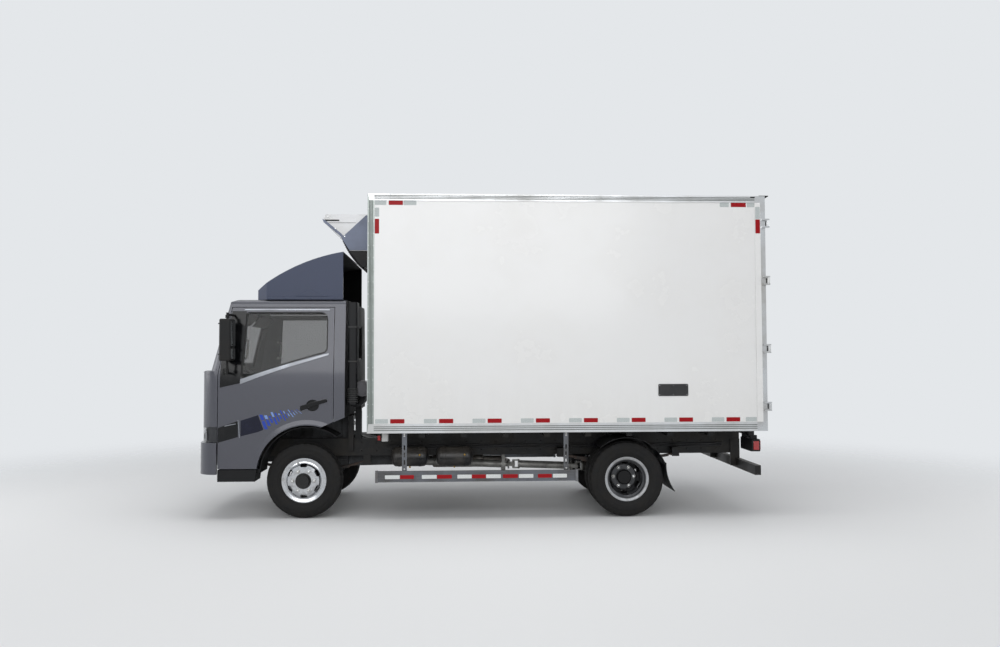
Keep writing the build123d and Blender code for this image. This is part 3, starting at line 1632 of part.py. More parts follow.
# Right-hand pieces are mirrored from the left
pieces = {
    "front_left_tyre": front_left_tyre.part,
    "front_right_tyre": mirrored(front_left_tyre.part),
    "front_left_wheel": front_left_wheel.part,
    "front_right_wheel": mirrored(front_left_wheel.part),
    "rear_left_tyres": rear_left_tyres.part,
    "rear_right_tyres": mirrored(rear_left_tyres.part),
    "rear_left_wheels": rear_left_wheels.part,
    "rear_right_wheels": mirrored(rear_left_wheels.part),
    "left_knuckle": left_knuckle.part,
    "right_knuckle": mirrored(left_knuckle.part),
    "tie_rod": tie_rod.part,
    "front_axle": front_axle.part,
    "rear_axle": rear_axle.part,
    "leaf_springs": leaf_springs.part,
    "chassis_frame": chassis_frame.part,
    "engine": engine.part,
    "prop_shaft": prop_shaft.part,
    "exhaust": exhaust.part,
    "fuel_tank": fuel_tank.part,
    "battery_box": battery_box.part,
    "box_subframe": box_subframe.part,
    "box_floor": box_floor.part,
    "box_side_walls": box_side_walls.part,
    "box_front_wall": box_front_wall.part,
    "box_roof": box_roof.part,
    "box_edge_rails": box_edge_rails.part,
    "box_door_frame": box_door_frame.part,
    "box_left_door": box_left_door.part,
    "box_right_door": mirrored(box_left_door.part),
    "box_left_door_gear": box_left_door_gear.part,
    "box_right_door_gear": mirrored(box_left_door_gear.part),
    "fridge_unit": fridge_unit.part,
    "evaporator": evaporator.part,
    "side_guards": side_guards.part,
    "rear_underrun_bar": rear_underrun_bar.part,
    "tail_lamps": tail_lamps.part,
    "rear_mudguards": rear_mudguards.part,
    "air_intake": air_intake.part,
    "left_cab_door": left_cab_door.part,
    "right_cab_door": mirrored(left_cab_door.part),
    "left_door_glass": left_door_glass.part,
    "right_door_glass": mirrored(left_door_glass.part),
    "left_mirror": left_mirror.part,
    "right_mirror": mirrored(left_mirror.part),
    "cab_frame": cab_frame.part,
    "cab_glass": cab_glass.part,
    "cab_roof": cab_roof.part,
    "headlamps": headlamps.part,
    "front_panel": front_panel.part,
    "front_bumper": front_bumper.part,
    "cab_floor": cab_floor.part,
    "front_arches": front_arches.part,
    "roof_fairing": roof_fairing.part,
    "dashboard": dashboard.part,
    "seats": seats.part,
    "steering_wheel": steering_wheel.part,
}
for name, piece in pieces.items():
    piece.label = name
    export_step(piece, f"parts/{name}.step")
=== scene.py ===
import bmesh
import bpy
import math
from mathutils import Matrix, Vector
from mathutils.bvhtree import BVHTree


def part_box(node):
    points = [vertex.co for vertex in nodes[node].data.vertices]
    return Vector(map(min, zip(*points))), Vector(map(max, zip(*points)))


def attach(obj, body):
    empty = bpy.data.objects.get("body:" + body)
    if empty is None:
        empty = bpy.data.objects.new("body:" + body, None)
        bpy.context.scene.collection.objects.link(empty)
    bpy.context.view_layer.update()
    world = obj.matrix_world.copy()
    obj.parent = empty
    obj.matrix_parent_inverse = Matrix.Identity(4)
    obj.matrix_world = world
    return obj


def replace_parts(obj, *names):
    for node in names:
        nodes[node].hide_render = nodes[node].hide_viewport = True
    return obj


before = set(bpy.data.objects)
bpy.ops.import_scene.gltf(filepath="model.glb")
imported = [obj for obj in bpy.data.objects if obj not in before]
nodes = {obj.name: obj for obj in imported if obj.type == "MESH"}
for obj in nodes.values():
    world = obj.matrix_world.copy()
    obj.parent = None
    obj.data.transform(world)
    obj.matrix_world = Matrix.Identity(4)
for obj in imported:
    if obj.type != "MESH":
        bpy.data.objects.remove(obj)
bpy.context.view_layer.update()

# Camera: level with the cab's shoulder and nearly ten metres from the middle of the truck's
# left side, with a slight turn to the rear.
camera = bpy.data.cameras.new("camera")
camera.sensor_width = 36.0
camera.lens = 30.43
eye = bpy.data.objects.new("camera", camera)
eye.location = (0.2467, 9.798, 1.694)
eye.rotation_euler = (math.pi / 2 + 0.0372, 0.0022, math.pi - 0.0481)
bpy.context.scene.collection.objects.link(eye)
bpy.context.scene.camera = eye
bpy.context.scene.view_settings.view_transform = "Standard"

# Studio: a pale matt floor that fades into a pale surround, a large soft box overhead, a long
# one on the camera's side, two low ones at the ends and one behind, which draw the metal.


def linear(code):
    """Turns an sRGB hex colour into the linear colour that a socket takes."""
    levels = [int(code[at:at + 2], 16) / 255 for at in (1, 3, 5)]
    return tuple(c / 12.92 if c < 0.04045 else ((c + 0.055) / 1.055) ** 2.4 for c in levels) + (1,)


def add_node(owner, kind, inputs=None, **settings):
    """Adds a node with its settings; an input is a value, or another node's output to link."""
    made = owner.node_tree.nodes.new("ShaderNode" + kind)
    for setting, value in settings.items():
        setattr(made, setting, value)
    for socket, value in (inputs or {}).items():
        if isinstance(value, bpy.types.NodeSocket):
            owner.node_tree.links.new(value, made.inputs[socket])
        else:
            made.inputs[socket].default_value = value
    return made


def new_material(name):
    """Starts an empty node material."""
    made = bpy.data.materials.new(name)
    made.use_nodes = True
    made.node_tree.nodes.clear()
    return made


world = bpy.data.worlds.new("surround")
bpy.context.scene.world = world
world.use_nodes = True
world.node_tree.nodes.clear()
rays = add_node(world, "LightPath").outputs
mirrored_rays = add_node(
    world, "Math", {0: rays["Is Glossy Ray"], 1: rays["Is Transmission Ray"]}, operation="MAXIMUM"
)
seen = add_node(world, "Math", {0: rays["Is Camera Ray"], 1: mirrored_rays.outputs[0]}, operation="MAXIMUM")
pale = add_node(world, "Background", {"Color": linear("#e4e7ea"), "Strength": 1.0})
fill = add_node(world, "Background", {"Color": linear("#f2f5fa"), "Strength": 0.32})
blend = add_node(world, "MixShader", {0: seen.outputs[0], 1: fill.outputs[0], 2: pale.outputs[0]})
add_node(world, "OutputWorld", {"Surface": blend.outputs[0]})

floor_paint = new_material("pale_floor_paint")
place = add_node(floor_paint, "NewGeometry")
reach = add_node(floor_paint, "VectorMath", {0: place.outputs["Position"]}, operation="LENGTH")
fade_from, fade_to = 3.2, 10.5
fade = add_node(
    floor_paint, "MapRange", {0: reach.outputs["Value"], 1: fade_from, 2: fade_to},
    interpolation_type="SMOOTHERSTEP",
)
grit = add_node(floor_paint, "TexNoise", {"Scale": 3.0, "Detail": 6.0})
tone = add_node(
    floor_paint, "Mix", {0: grit.outputs[0], 6: linear("#eceded"), 7: linear("#f2f2f2")}, data_type="RGBA"
)
matt = add_node(
    floor_paint, "BsdfPrincipled", {"Base Color": tone.outputs[2], "Roughness": 0.75, "Specular IOR Level": 0.2}
)
see_through = add_node(floor_paint, "BsdfTransparent")
ground = add_node(floor_paint, "MixShader", {0: fade.outputs[0], 1: matt.outputs[0], 2: see_through.outputs[0]})
add_node(floor_paint, "OutputMaterial", {"Surface": ground.outputs[0]})
floor_mesh = bpy.data.meshes.new("floor")
floor_half = 14
floor_mesh.from_pydata([
    (-floor_half, -floor_half, 0), (floor_half, -floor_half, 0), (floor_half, floor_half, 0),
    (-floor_half, floor_half, 0),
], [], [(0, 1, 2, 3)])
floor_mesh.materials.append(floor_paint)
floor = bpy.data.objects.new("floor", floor_mesh)
bpy.context.scene.collection.objects.link(floor)

# place, what it faces, width, height, watts
for stand, target, width, height, watts in (
    ((0.5, 1.5, 8.0), (0, 0, 1), 9.0, 6.0, 300),
    ((1.5, 11.5, 5.0), (0, 0, 1.4), 11.0, 5.0, 390),
    ((8.5, 1.0, 3.2), (1.5, 0, 1.2), 4.0, 4.0, 110),
    ((-8.5, 2.0, 3.4), (-2, 0, 1.4), 4.0, 4.0, 90),
    ((-1.0, -9.5, 4.5), (0, 0, 1.6), 9.0, 4.0, 150),
):
    lamp = bpy.data.lights.new("soft_box", "AREA")
    lamp.shape = "RECTANGLE"
    lamp.size, lamp.size_y, lamp.energy = width, height, watts
    soft_box = bpy.data.objects.new("soft_box", lamp)
    soft_box.location = stand
    soft_box.rotation_euler = (Vector(target) - Vector(stand)).to_track_quat("-Z", "Y").to_euler()
    bpy.context.scene.collection.objects.link(soft_box)

# Chassis frame: two pressed steel rails with riveted cross members, dipped in black chassis
# paint and dulled by road dust, which lies thickest on what faces up.


def surface(name, clean, soiled, roughness, metallic=0.0, patch=0.4, grain=0.002, relief=0.0002,
            wear=(0.4, 0.8), settles=0.0, round_edge=0.0, painted_edge_highlight=None, **shader_inputs):
    """Starts a material whose colour and gloss soil in patches and whose skin has a grain.
    patch, grain, relief and round_edge are in metres; dust settles on what faces up; the edge
    colour, if given, is painted lighter on rounded edges as a painted highlight. Returns the parts."""
    made = new_material(name)
    spot = add_node(made, "TexCoord").outputs["Object"]
    patches = add_node(made, "TexNoise", {"Vector": spot, "Scale": 1 / patch, "Detail": 6.0, "Roughness": 0.62})
    soil = add_node(made, "MapRange", {0: patches.outputs[0], 1: wear[0], 2: wear[1]})
    if settles:
        normal = add_node(made, "SeparateXYZ", {0: add_node(made, "NewGeometry").outputs["Normal"]})
        upward = add_node(made, "MapRange", {0: normal.outputs[2], 4: settles})
        soil = add_node(
            made, "Math", {0: soil.outputs[0], 1: upward.outputs[0]}, operation="ADD", use_clamp=True
        )
    colour = add_node(made, "Mix", {0: soil.outputs[0], 6: linear(clean), 7: linear(soiled)}, data_type="RGBA")
    gloss = add_node(made, "MapRange", {0: soil.outputs[0], 3: roughness[0], 4: roughness[1]})
    grains = add_node(made, "TexNoise", {"Vector": spot, "Scale": 1 / grain, "Detail": 2.0})
    skin = add_node(made, "Bump", {"Height": grains.outputs[0], "Strength": 1.0, "Distance": relief})
    if round_edge:
        rounded = add_node(made, "Bevel", {"Radius": round_edge}, samples=4).outputs[0]
        made.node_tree.links.new(rounded, skin.inputs["Normal"])
        # Rounded edges get a lighter colour mixed in: a painted highlight where the folds catch the light.
        if painted_edge_highlight:
            level = add_node(made, "NewGeometry").outputs["Normal"]
            bent = add_node(made, "VectorMath", {0: rounded, 1: level}, operation="DOT_PRODUCT")
            edge_highlight_share = add_node(made, "MapRange", {0: bent.outputs["Value"], 1: 0.995, 2: 0.86})
            colour = add_node(made, "Mix", {
                0: edge_highlight_share.outputs[0], 6: colour.outputs[2], 7: linear(painted_edge_highlight),
            }, data_type="RGBA")
    shader = add_node(made, "BsdfPrincipled", {
        "Base Color": colour.outputs[2], "Roughness": gloss.outputs[0], "Normal": skin.outputs[0],
        "Metallic": metallic, **shader_inputs,
    })
    add_node(made, "OutputMaterial", {"Surface": shader.outputs[0]})
    return {"material": made, "spot": spot, "soil": soil, "colour": colour, "gloss": gloss, "skin": skin,
            "shader": shader}


def dress(material, *names):
    """Gives CAD nodes a material in place of their plain one."""
    for name in names:
        nodes[name].data.materials.clear()
        nodes[name].data.materials.append(material)


def round_bar(form, start, end, radius, sides=16, end_radius=None):
    """Adds a capped round bar, or a cone, between two points to a form."""
    start, end = Vector(start), Vector(end)
    turn = (end - start).to_track_quat("Z", "Y").to_matrix().to_4x4()
    tip = radius if end_radius is None else end_radius
    bmesh.ops.create_cone(
        form, cap_ends=True, segments=sides, radius1=radius, radius2=tip, depth=(end - start).length,
        matrix=Matrix.Translation((start + end) / 2) @ turn,
    )


def make_piece(name, form, material, body, edge=0.0):
    """Turns a form into a piece that rides on a body, its edges rounded by a bevel."""
    bmesh.ops.remove_doubles(form, verts=form.verts, dist=1e-6)
    bmesh.ops.recalc_face_normals(form, faces=form.faces)
    mesh = bpy.data.meshes.new(name)
    form.to_mesh(mesh)
    form.free()
    mesh.materials.append(material)
    made = bpy.data.objects.new(name, mesh)
    bpy.context.scene.collection.objects.link(made)
    if edge:
        bevel = made.modifiers.new("edge", "BEVEL")
        bevel.width, bevel.segments, bevel.limit_method, bevel.angle_limit = edge, 2, "ANGLE", math.radians(35)
    mesh.shade_smooth()
    mesh.set_sharp_from_angle(angle=math.radians(35))
    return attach(made, body)


chassis_paint = surface(
    "dipped_chassis_paint_on_steel", "#0f1012", "#3d3933", (0.38, 0.75), patch=0.35, grain=0.004, relief=0.0004,
    settles=0.4, **{"Specular IOR Level": 0.3},
)["material"]
dress(chassis_paint, "chassis_frame", "front_axle", "rear_axle", "rear_underrun_bar", "box_subframe")

rail_side, bolt_radius, bolt_head = 0.375, 0.009, 0.007
bolt_levels = (0.640, 0.735)
bolts = bmesh.new()
frame_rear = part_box("chassis_frame")[0].x
for side in (-1, 1):
    for step in range(26):
        bolt_x = frame_rear + 0.10 + step * 0.165
        for level in bolt_levels:
            start = (bolt_x, side * rail_side, level)
            round_bar(bolts, start, (bolt_x, side * (rail_side + bolt_head), level), bolt_radius, 12, 0.006)
make_piece("rail_bolts", bolts, chassis_paint, "chassis")

# Pipes: three nylon air pipes that lie along the left rail's web and wander a little between
# their fixings.


def tube(name, runs, radius, material, body):
    """Makes a piece of round tubes along runs of points."""
    curve = bpy.data.curves.new(name, "CURVE")
    curve.dimensions, curve.bevel_depth, curve.bevel_resolution = "3D", radius, 3
    curve.use_fill_caps = True
    for run in runs:
        spline = curve.splines.new("POLY")
        spline.points.add(len(run) - 1)
        for point, where in zip(spline.points, run):
            point.co = (*where, 1)
    curve.materials.append(material)
    drawn = bpy.data.objects.new(name, curve)
    bpy.context.scene.collection.objects.link(drawn)
    bpy.context.view_layer.update()
    mesh = bpy.data.meshes.new_from_object(drawn.evaluated_get(bpy.context.evaluated_depsgraph_get()))
    bpy.data.objects.remove(drawn)
    mesh.name = name
    made = bpy.data.objects.new(name, mesh)
    bpy.context.scene.collection.objects.link(made)
    mesh.shade_smooth()
    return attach(made, body)


nylon = surface(
    "extruded_black_nylon_pipe", "#1b1c20", "#3a3732", (0.35, 0.6), patch=0.2, grain=0.003
)["material"]
pipe_front, pipe_rear = 1.05, -2.70
runs = []
for index, level in enumerate((0.672, 0.688, 0.702)):
    wander = 0.004 * index
    runs.append([
        (pipe_rear + (pipe_front - pipe_rear) * t / 24, rail_side + 0.014 + wander,
         level + 0.006 * math.sin(t * 1.7 + index))
        for t in range(25)
    ])
tube("rail_pipes", runs, 0.006, nylon, "chassis")

# Springs: packs of shot-peened leaves in black paint, rusted at the edges, each clamped to
# its axle by two plates and two U-bolts.


def solid_box(form, low, high):
    """Adds a box between two corners to a form."""
    (x_a, y_a, z_a), (x_b, y_b, z_b) = low, high
    corners = [form.verts.new((x, y, z)) for z in (z_a, z_b) for y in (y_a, y_b) for x in (x_a, x_b)]
    for a, b, c, d in ((0, 2, 3, 1), (4, 5, 7, 6), (0, 1, 5, 4), (2, 6, 7, 3), (0, 4, 6, 2), (1, 3, 7, 5)):
        form.faces.new([corners[a], corners[b], corners[c], corners[d]])


spring_paint = surface(
    "painted_spring_steel", "#1d1c1c", "#5a4334", (0.45, 0.8), patch=0.12, grain=0.003, relief=0.0004,
    settles=0.3,
)["material"]
dress(spring_paint, "leaf_springs")
clamps = bmesh.new()
# axle x, spring y, top of the pack, underside of the axle
for axle_x, spring_y, pack_top, axle_low in ((1.862, 0.343, 0.448, 0.318), (-1.508, 0.450, 0.545, 0.318)):
    for side in (-1, 1):
        y = side * spring_y
        solid_box(clamps, (axle_x - 0.095, y - 0.046, pack_top), (axle_x + 0.095, y + 0.046, pack_top + 0.014))
        solid_box(clamps, (axle_x - 0.095, y - 0.046, axle_low - 0.014), (axle_x + 0.095, y + 0.046, axle_low))
        for bolt_x in (axle_x - 0.078, axle_x + 0.078):
            for bolt_y in (y - 0.039, y + 0.039):
                for low, high, radius, sides in (
                    (axle_low - 0.035, pack_top + 0.022, 0.007, 10),
                    (axle_low - 0.026, axle_low - 0.014, 0.013, 6),
                ):
                    round_bar(clamps, (bolt_x, bolt_y, low), (bolt_x, bolt_y, high), radius, sides)
            bend_z = pack_top + 0.020
            round_bar(clamps, (bolt_x, y - 0.046, bend_z), (bolt_x, y + 0.046, bend_z), 0.008, 10)
make_piece("spring_clamps", clamps, spring_paint, "chassis", edge=0.002)

# Brakes and air: pressed steel brake chambers behind the rear axle and two welded air tanks
# on the left rail, on strap brackets, with brass drain valves.


def skin_rings(form, rings, closed=True, ends=True):
    """Joins each ring of vertices to the next by faces, and caps the first and the last."""
    if ends:
        form.faces.new(rings[0])
        form.faces.new(rings[-1][::-1])
    for near, far in zip(rings, rings[1:]):
        for at in range(len(near) if closed else len(near) - 1):
            after = (at + 1) % len(near)
            form.faces.new([near[at], near[after], far[after], far[at]])


air_paint = surface(
    "sprayed_black_enamel_on_pressed_steel", "#1a1b1e", "#55504a", (0.28, 0.6), patch=0.25, grain=0.005,
    relief=0.0003, settles=0.5,
)["material"]
chambers = bmesh.new()
for side in (-1, 1):
    for offset, radius, reach in ((0.0, 0.072, 0.055), (0.055, 0.080, 0.012), (0.067, 0.070, 0.085)):
        start = (-1.610 - offset, side * 0.27, 0.470)
        round_bar(chambers, start, (start[0] - reach, start[1], start[2]), radius, 28, radius * 0.93)
    round_bar(chambers, (-1.560, side * 0.27, 0.470), (-1.615, side * 0.27, 0.470), 0.014)
    solid_box(chambers, (-1.612, side * 0.27 - 0.05, 0.405), (-1.600, side * 0.27 + 0.05, 0.535))
make_piece("brake_chambers", chambers, air_paint, "chassis", edge=0.004)

tank_y, tank_z, tank_radius = 0.580, 0.600, 0.105
turns = [math.pi * step / 20 for step in range(40)]
tanks = bmesh.new()
for rear, front in ((0.10, 0.50), (0.58, 0.98)):
    dome = [(0.0, 0.02), (0.006, 0.055), (0.020, 0.085), (0.040, 0.101), (0.060, tank_radius)]
    outline = dome + [(front - rear - d, r) for d, r in reversed(dome)]
    skin_rings(tanks, [
        [tanks.verts.new((rear + d, tank_y + r * math.cos(a), tank_z + r * math.sin(a))) for a in turns]
        for d, r in outline
    ])
    for strap_x in (rear + 0.09, front - 0.09):
        strap_ends = [(strap_x + out, tank_y, tank_z) for out in (-0.014, 0.014)]
        round_bar(tanks, *strap_ends, tank_radius + 0.003, 40)
        solid_box(tanks, (strap_x - 0.02, 0.376, tank_z + 0.02), (strap_x + 0.02, tank_y - 0.07, tank_z + 0.085))
make_piece("air_tanks", tanks, air_paint, "chassis", edge=0.003)

brass = surface(
    "turned_brass", "#b08d4a", "#6b5836", (0.3, 0.55), metallic=1.0, patch=0.05, relief=0.0001
)["material"]
drains = bmesh.new()
for drain_x in (0.30, 0.78):
    foot_z, port_x, port_z = tank_z - tank_radius, drain_x - 0.11, tank_z + 0.03
    round_bar(drains, (drain_x, tank_y, foot_z - 0.018), (drain_x, tank_y, foot_z + 0.01), 0.010, 6)
    round_bar(drains, (port_x, tank_y + 0.103, port_z), (port_x, tank_y + 0.125, port_z), 0.011, 6)
make_piece("tank_drains", drains, brass, "chassis", edge=0.0015)

# Engine and gearbox: grey cast iron under a film of oil and dust. The knuckles and the tie
# rod have the same skin.
cast_iron = surface(
    "sand_cast_iron", "#3c3e40", "#26221e", (0.5, 0.85), metallic=0.3, patch=0.15, grain=0.004, relief=0.0009,
    settles=0.3,
)["material"]
dress(cast_iron, "engine", "left_knuckle", "right_knuckle", "tie_rod")
ribs = bmesh.new()
for side in (-1, 1):
    for step in range(6):
        rib_x = 1.545 + step * 0.11
        solid_box(ribs, (rib_x, side * 0.285 - 0.008, 0.56), (rib_x + 0.014, side * 0.285 + 0.008, 0.98))
    for level in (0.53, 0.99):
        solid_box(ribs, (1.49, side * 0.285 - 0.012, level), (2.18, side * 0.285 + 0.012, level + 0.022))
make_piece("engine_ribs", ribs, cast_iron, "chassis", edge=0.003)

# Prop shaft: drawn steel tube with forged forks, in light grey paint thinned by stones.
shaft_paint = surface(
    "grey_paint_on_drawn_steel_tube", "#a3a29e", "#4b4743", (0.35, 0.65), metallic=0.35, patch=0.12,
    grain=0.004, relief=0.0003,
)["material"]
dress(shaft_paint, "prop_shaft")

# Exhaust: aluminised steel, browned by heat towards the engine.


def relink(parts, socket, output):
    """Puts another node's output into a socket of a surface's shader."""
    parts["material"].node_tree.links.new(output, parts["shader"].inputs[socket])


exhaust_skin = surface(
    "aluminised_steel_browned_by_heat", "#8f8a84", "#5b4636", (0.35, 0.65), metallic=0.85, patch=0.18,
    grain=0.003, relief=0.0003,
)
forward = add_node(exhaust_skin["material"], "SeparateXYZ", {0: exhaust_skin["spot"]}).outputs[0]
heat = add_node(exhaust_skin["material"], "MapRange", {0: forward, 1: 0.1, 2: 1.4, 4: 0.7})
browned = add_node(exhaust_skin["material"], "Mix", {
    0: heat.outputs[0], 6: exhaust_skin["colour"].outputs[2], 7: linear("#4c3527"),
}, data_type="RGBA")
relink(exhaust_skin, "Base Color", browned.outputs[2])
dress(exhaust_skin["material"], "exhaust")

# Fuel tank: rolled aluminium with pressed ends, brushed along its length and dusty on top.
tank_skin = surface(
    "rolled_tank_aluminium", "#b9bbbd", "#77726a", (0.32, 0.6), metallic=0.9, grain=0.006, settles=0.35
)["material"]
dress(tank_skin, "fuel_tank")

# Battery box, mudguards and air intake: moulded polypropylene with a fine leather grain.
moulding = surface(
    "grained_black_polypropylene", "#101113", "#2c2a27", (0.45, 0.7), patch=0.5, grain=0.0016, relief=0.00025,
    wear=(0.5, 0.9), settles=0.3, **{"Specular IOR Level": 0.25},
)["material"]
dress(moulding, "battery_box", "rear_mudguards", "air_intake", "front_arches")
(rear_x, face_y, foot_z), (front_x, _, lid_z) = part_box("battery_box")
lid = bmesh.new()
for step in range(7):
    rib_x = rear_x + 0.045 + step * 0.046
    solid_box(lid, (rib_x, face_y - 0.004, foot_z + 0.03), (rib_x + 0.012, face_y + 0.004, lid_z - 0.07))
solid_box(lid, (rear_x + 0.01, face_y - 0.007, lid_z - 0.052), (front_x - 0.01, face_y + 0.01, lid_z - 0.038))
for latch_x in (rear_x + 0.09, front_x - 0.09):
    solid_box(lid, (latch_x - 0.014, face_y - 0.012, lid_z - 0.085), (latch_x + 0.014, face_y, lid_z - 0.015))
make_piece("battery_box_lid", lid, moulding, "chassis", edge=0.002)

# Tyres: radial truck tyres with zigzag ribs on a tread that dust has paled, and smooth side
# walls with raised rings. The rubber is moulded, so it is matt and slightly pitted.
rubber = surface(
    "moulded_tyre_rubber", "#131314", "#2b2926", (0.62, 0.9), patch=0.09, grain=0.0022, relief=0.0003,
    wear=(0.35, 0.95), **{"Specular IOR Level": 0.25},
)["material"]
tyre_radius, rim_edge, half_width, tread_half = 0.392, 0.2315, 0.106, 0.088
groove_depth, tread_crown = 0.011, 0.010
# distance from the centre plane and radius, from one bead across the side wall to the shoulder
wall_outline = (
    (0.082, 0.216), (0.088, 0.2335), (0.0905, 0.240), (0.0935, 0.2465), (0.0955, 0.2475), (0.0975, 0.2500),
    (0.0985, 0.256), (0.1010, 0.266), (0.1018, 0.2675), (0.1030, 0.2690), (0.1040, 0.280), (0.1050, 0.292),
    (0.1060, 0.302), (0.1058, 0.314), (0.1070, 0.3155), (0.1070, 0.3190), (0.1052, 0.3205), (0.1040, 0.333),
    (0.1015, 0.346), (0.0985, 0.357), (0.0950, 0.367), (0.0915, 0.3745), (0.0890, 0.3800),
)
groove_centres, groove_half = (-0.050, -0.017, 0.017, 0.050), 0.0042
segments = 216


def tyre(form, centre):
    """Adds one tyre: side walls, and a tread whose grooves weave and whose shoulders are notched."""
    across = [(y, r, "wall") for y, r in wall_outline]
    tread = [(0.0865, 0.0, "notch"), (0.0780, 0.0, "notch"), (0.0680, 0.0, "notch")]
    for middle in reversed(groove_centres):
        tread += [
            (middle + groove_half + 0.0015, 0.0, "edge"), (middle + groove_half, groove_depth, "floor"),
            (middle - groove_half, groove_depth, "floor"), (middle - groove_half - 0.0015, 0.0, "edge"),
        ]
    tread += [(-0.0680, 0.0, "notch"), (-0.0780, 0.0, "notch"), (-0.0865, 0.0, "notch")]
    across += [(y, tyre_radius - tread_crown * (y / tread_half) ** 2 - drop, kind) for y, drop, kind in tread]
    across += [(-y, r, "wall") for y, r in reversed(wall_outline)]
    rings = []
    for step in range(segments):
        angle = 2 * math.pi * step / segments
        weave = 0.0035 * (1 if (step // 3) % 2 else -1)
        notched = step % 6 in (0, 1)
        ring = []
        for y, r, kind in across:
            if kind in ("edge", "floor"):
                y += weave
            if kind == "notch" and notched:
                r -= 0.009 if abs(y) > 0.07 else 0.0
            if kind == "wall" and notched and r > 0.362:
                r -= 0.004
            place = (centre[0] + r * math.cos(angle), centre[1] + y, centre[2] + r * math.sin(angle))
            ring.append(form.verts.new(place))
        rings.append(ring)
    skin_rings(form, rings + rings[:1], closed=False, ends=False)


axle_height, front_axle, rear_axle = 0.392, 1.862, -1.508
# CAD node, body, axle x, tyre centres
wheel_sets = (
    ("front_left_tyre", "front_left_wheel", front_axle, (0.770,)),
    ("front_right_tyre", "front_right_wheel", front_axle, (-0.770,)),
    ("rear_left_tyres", "rear_left_wheels", rear_axle, (0.871, 0.619)),
    ("rear_right_tyres", "rear_right_wheels", rear_axle, (-0.871, -0.619)),
)
for node, body, axle_x, centres in wheel_sets:
    form = bmesh.new()
    for centre_y in centres:
        tyre(form, (axle_x, centre_y, axle_height))
    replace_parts(make_piece(node + "_treaded", form, rubber, body), node)

# Front wheels: forged aluminium, turned and polished, with fine turning marks round the disc
# and brake dust in the vents. The hub is dark cast iron.
polished = surface(
    "polished_forged_aluminium", "#c3c5c8", "#77736f", (0.12, 0.34), metallic=1.0, patch=0.05, grain=0.004,
    relief=0.00005, wear=(0.5, 0.9),
)
rear_disc = surface(
    "silver_enamel_wheel_steel_with_painted_disc_shade", "#b3b5b8", "#6c6862", (0.32, 0.55), metallic=0.6, patch=0.08,
    grain=0.003, wear=(0.4, 0.9),
)


def by_radius(parts, axle_x, bands):
    """Changes a wheel's colour with distance from its axle. bands are (radius, blend, colour)
    from the hub outward, and the last colour is the material's own."""
    made = parts["material"]
    flat = add_node(made, "VectorMath", {0: parts["spot"], 1: (1, 0, 1)}, operation="MULTIPLY")
    away = add_node(made, "VectorMath", {0: flat.outputs[0], 1: (axle_x, 0, axle_height)}, operation="DISTANCE")
    colour = parts["colour"].outputs[2]
    metal = None
    for radius, ease, code in bands:
        share = add_node(made, "MapRange", {0: away.outputs["Value"], 1: radius - ease, 2: radius + ease})
        banded = add_node(made, "Mix", {0: share.outputs[0], 6: linear(code), 7: colour}, data_type="RGBA")
        colour = banded.outputs[2]
        metal = metal or share
    relink(parts, "Base Color", colour)
    return away.outputs["Value"], metal.outputs[0]


turned, outside_hub = by_radius(polished, front_axle, [(0.082, 0.002, "#0a0a0b")])
turning_marks = 900.0  # to a metre
marks = add_node(
    polished["material"], "TexNoise", {"W": turned, "Scale": turning_marks, "Detail": 3.0}, noise_dimensions="1D"
)
ridges = add_node(polished["material"], "Bump", {
    "Height": marks.outputs[0], "Strength": 0.35, "Distance": 0.0002, "Normal": polished["skin"].outputs[0],
})
relink(polished, "Normal", ridges.outputs[0])
relink(polished, "Metallic", outside_hub)
dress(polished["material"], "front_left_wheel", "front_right_wheel")
# The disc inside the rim is painted dark grey as painted shade; the hub is black.
by_radius(rear_disc, rear_axle, [(0.205, 0.004, "#4a4b4d"), (0.080, 0.002, "#19191a")])
dress(rear_disc["material"], "rear_left_wheels", "rear_right_wheels")

# Wheel nuts and valves: zinc-plated steel. Each nut has a flange and a domed end.
zinc = surface(
    "zinc_plated_steel", "#c9cbcc", "#8c8375", (0.2, 0.5), metallic=1.0, patch=0.03, relief=0.0001
)["material"]
nut_circle, nut_across = 0.111, 0.0165
valve_circle, valve_turn = 0.190, math.radians(72)
# body, axle x, side, y of the face the nuts sit on, y of the valve's root
for body, axle_x, side, face_y, valve_y in (
    ("front_left_wheel", front_axle, 1, 0.897, 0.855),
    ("front_right_wheel", front_axle, -1, 0.897, 0.855),
    ("rear_left_wheels", rear_axle, 1, 0.771, 0.850),
    ("rear_right_wheels", rear_axle, -1, 0.771, 0.850),
):
    nuts = bmesh.new()
    for index in range(6):
        angle = math.radians(60 * index)
        x, z = axle_x + nut_circle * math.cos(angle), axle_height + nut_circle * math.sin(angle)
        for root, tip, radius, sides, end in (
            (0.0, 0.006, 0.021, 20, 0.0195), (0.006, 0.026, nut_across, 6, None),
            (0.026, 0.031, nut_across * 0.85, 12, nut_across * 0.4),
        ):
            round_bar(nuts, (x, side * (face_y + root), z), (x, side * (face_y + tip), z), radius, sides, end)
    make_piece(body + "_nuts", nuts, zinc, body, edge=0.0012)
    valve = bmesh.new()
    x, z = axle_x + valve_circle * math.cos(valve_turn), axle_height + valve_circle * math.sin(valve_turn)
    for root, tip, radius in ((0.0, 0.012, 0.009), (0.012, 0.040, 0.0045), (0.036, 0.050, 0.0065)):
        round_bar(valve, (x, side * (valve_y + root), z), (x, side * (valve_y + tip), z), radius)
    make_piece(body + "_valve", valve, zinc, body, edge=0.001)

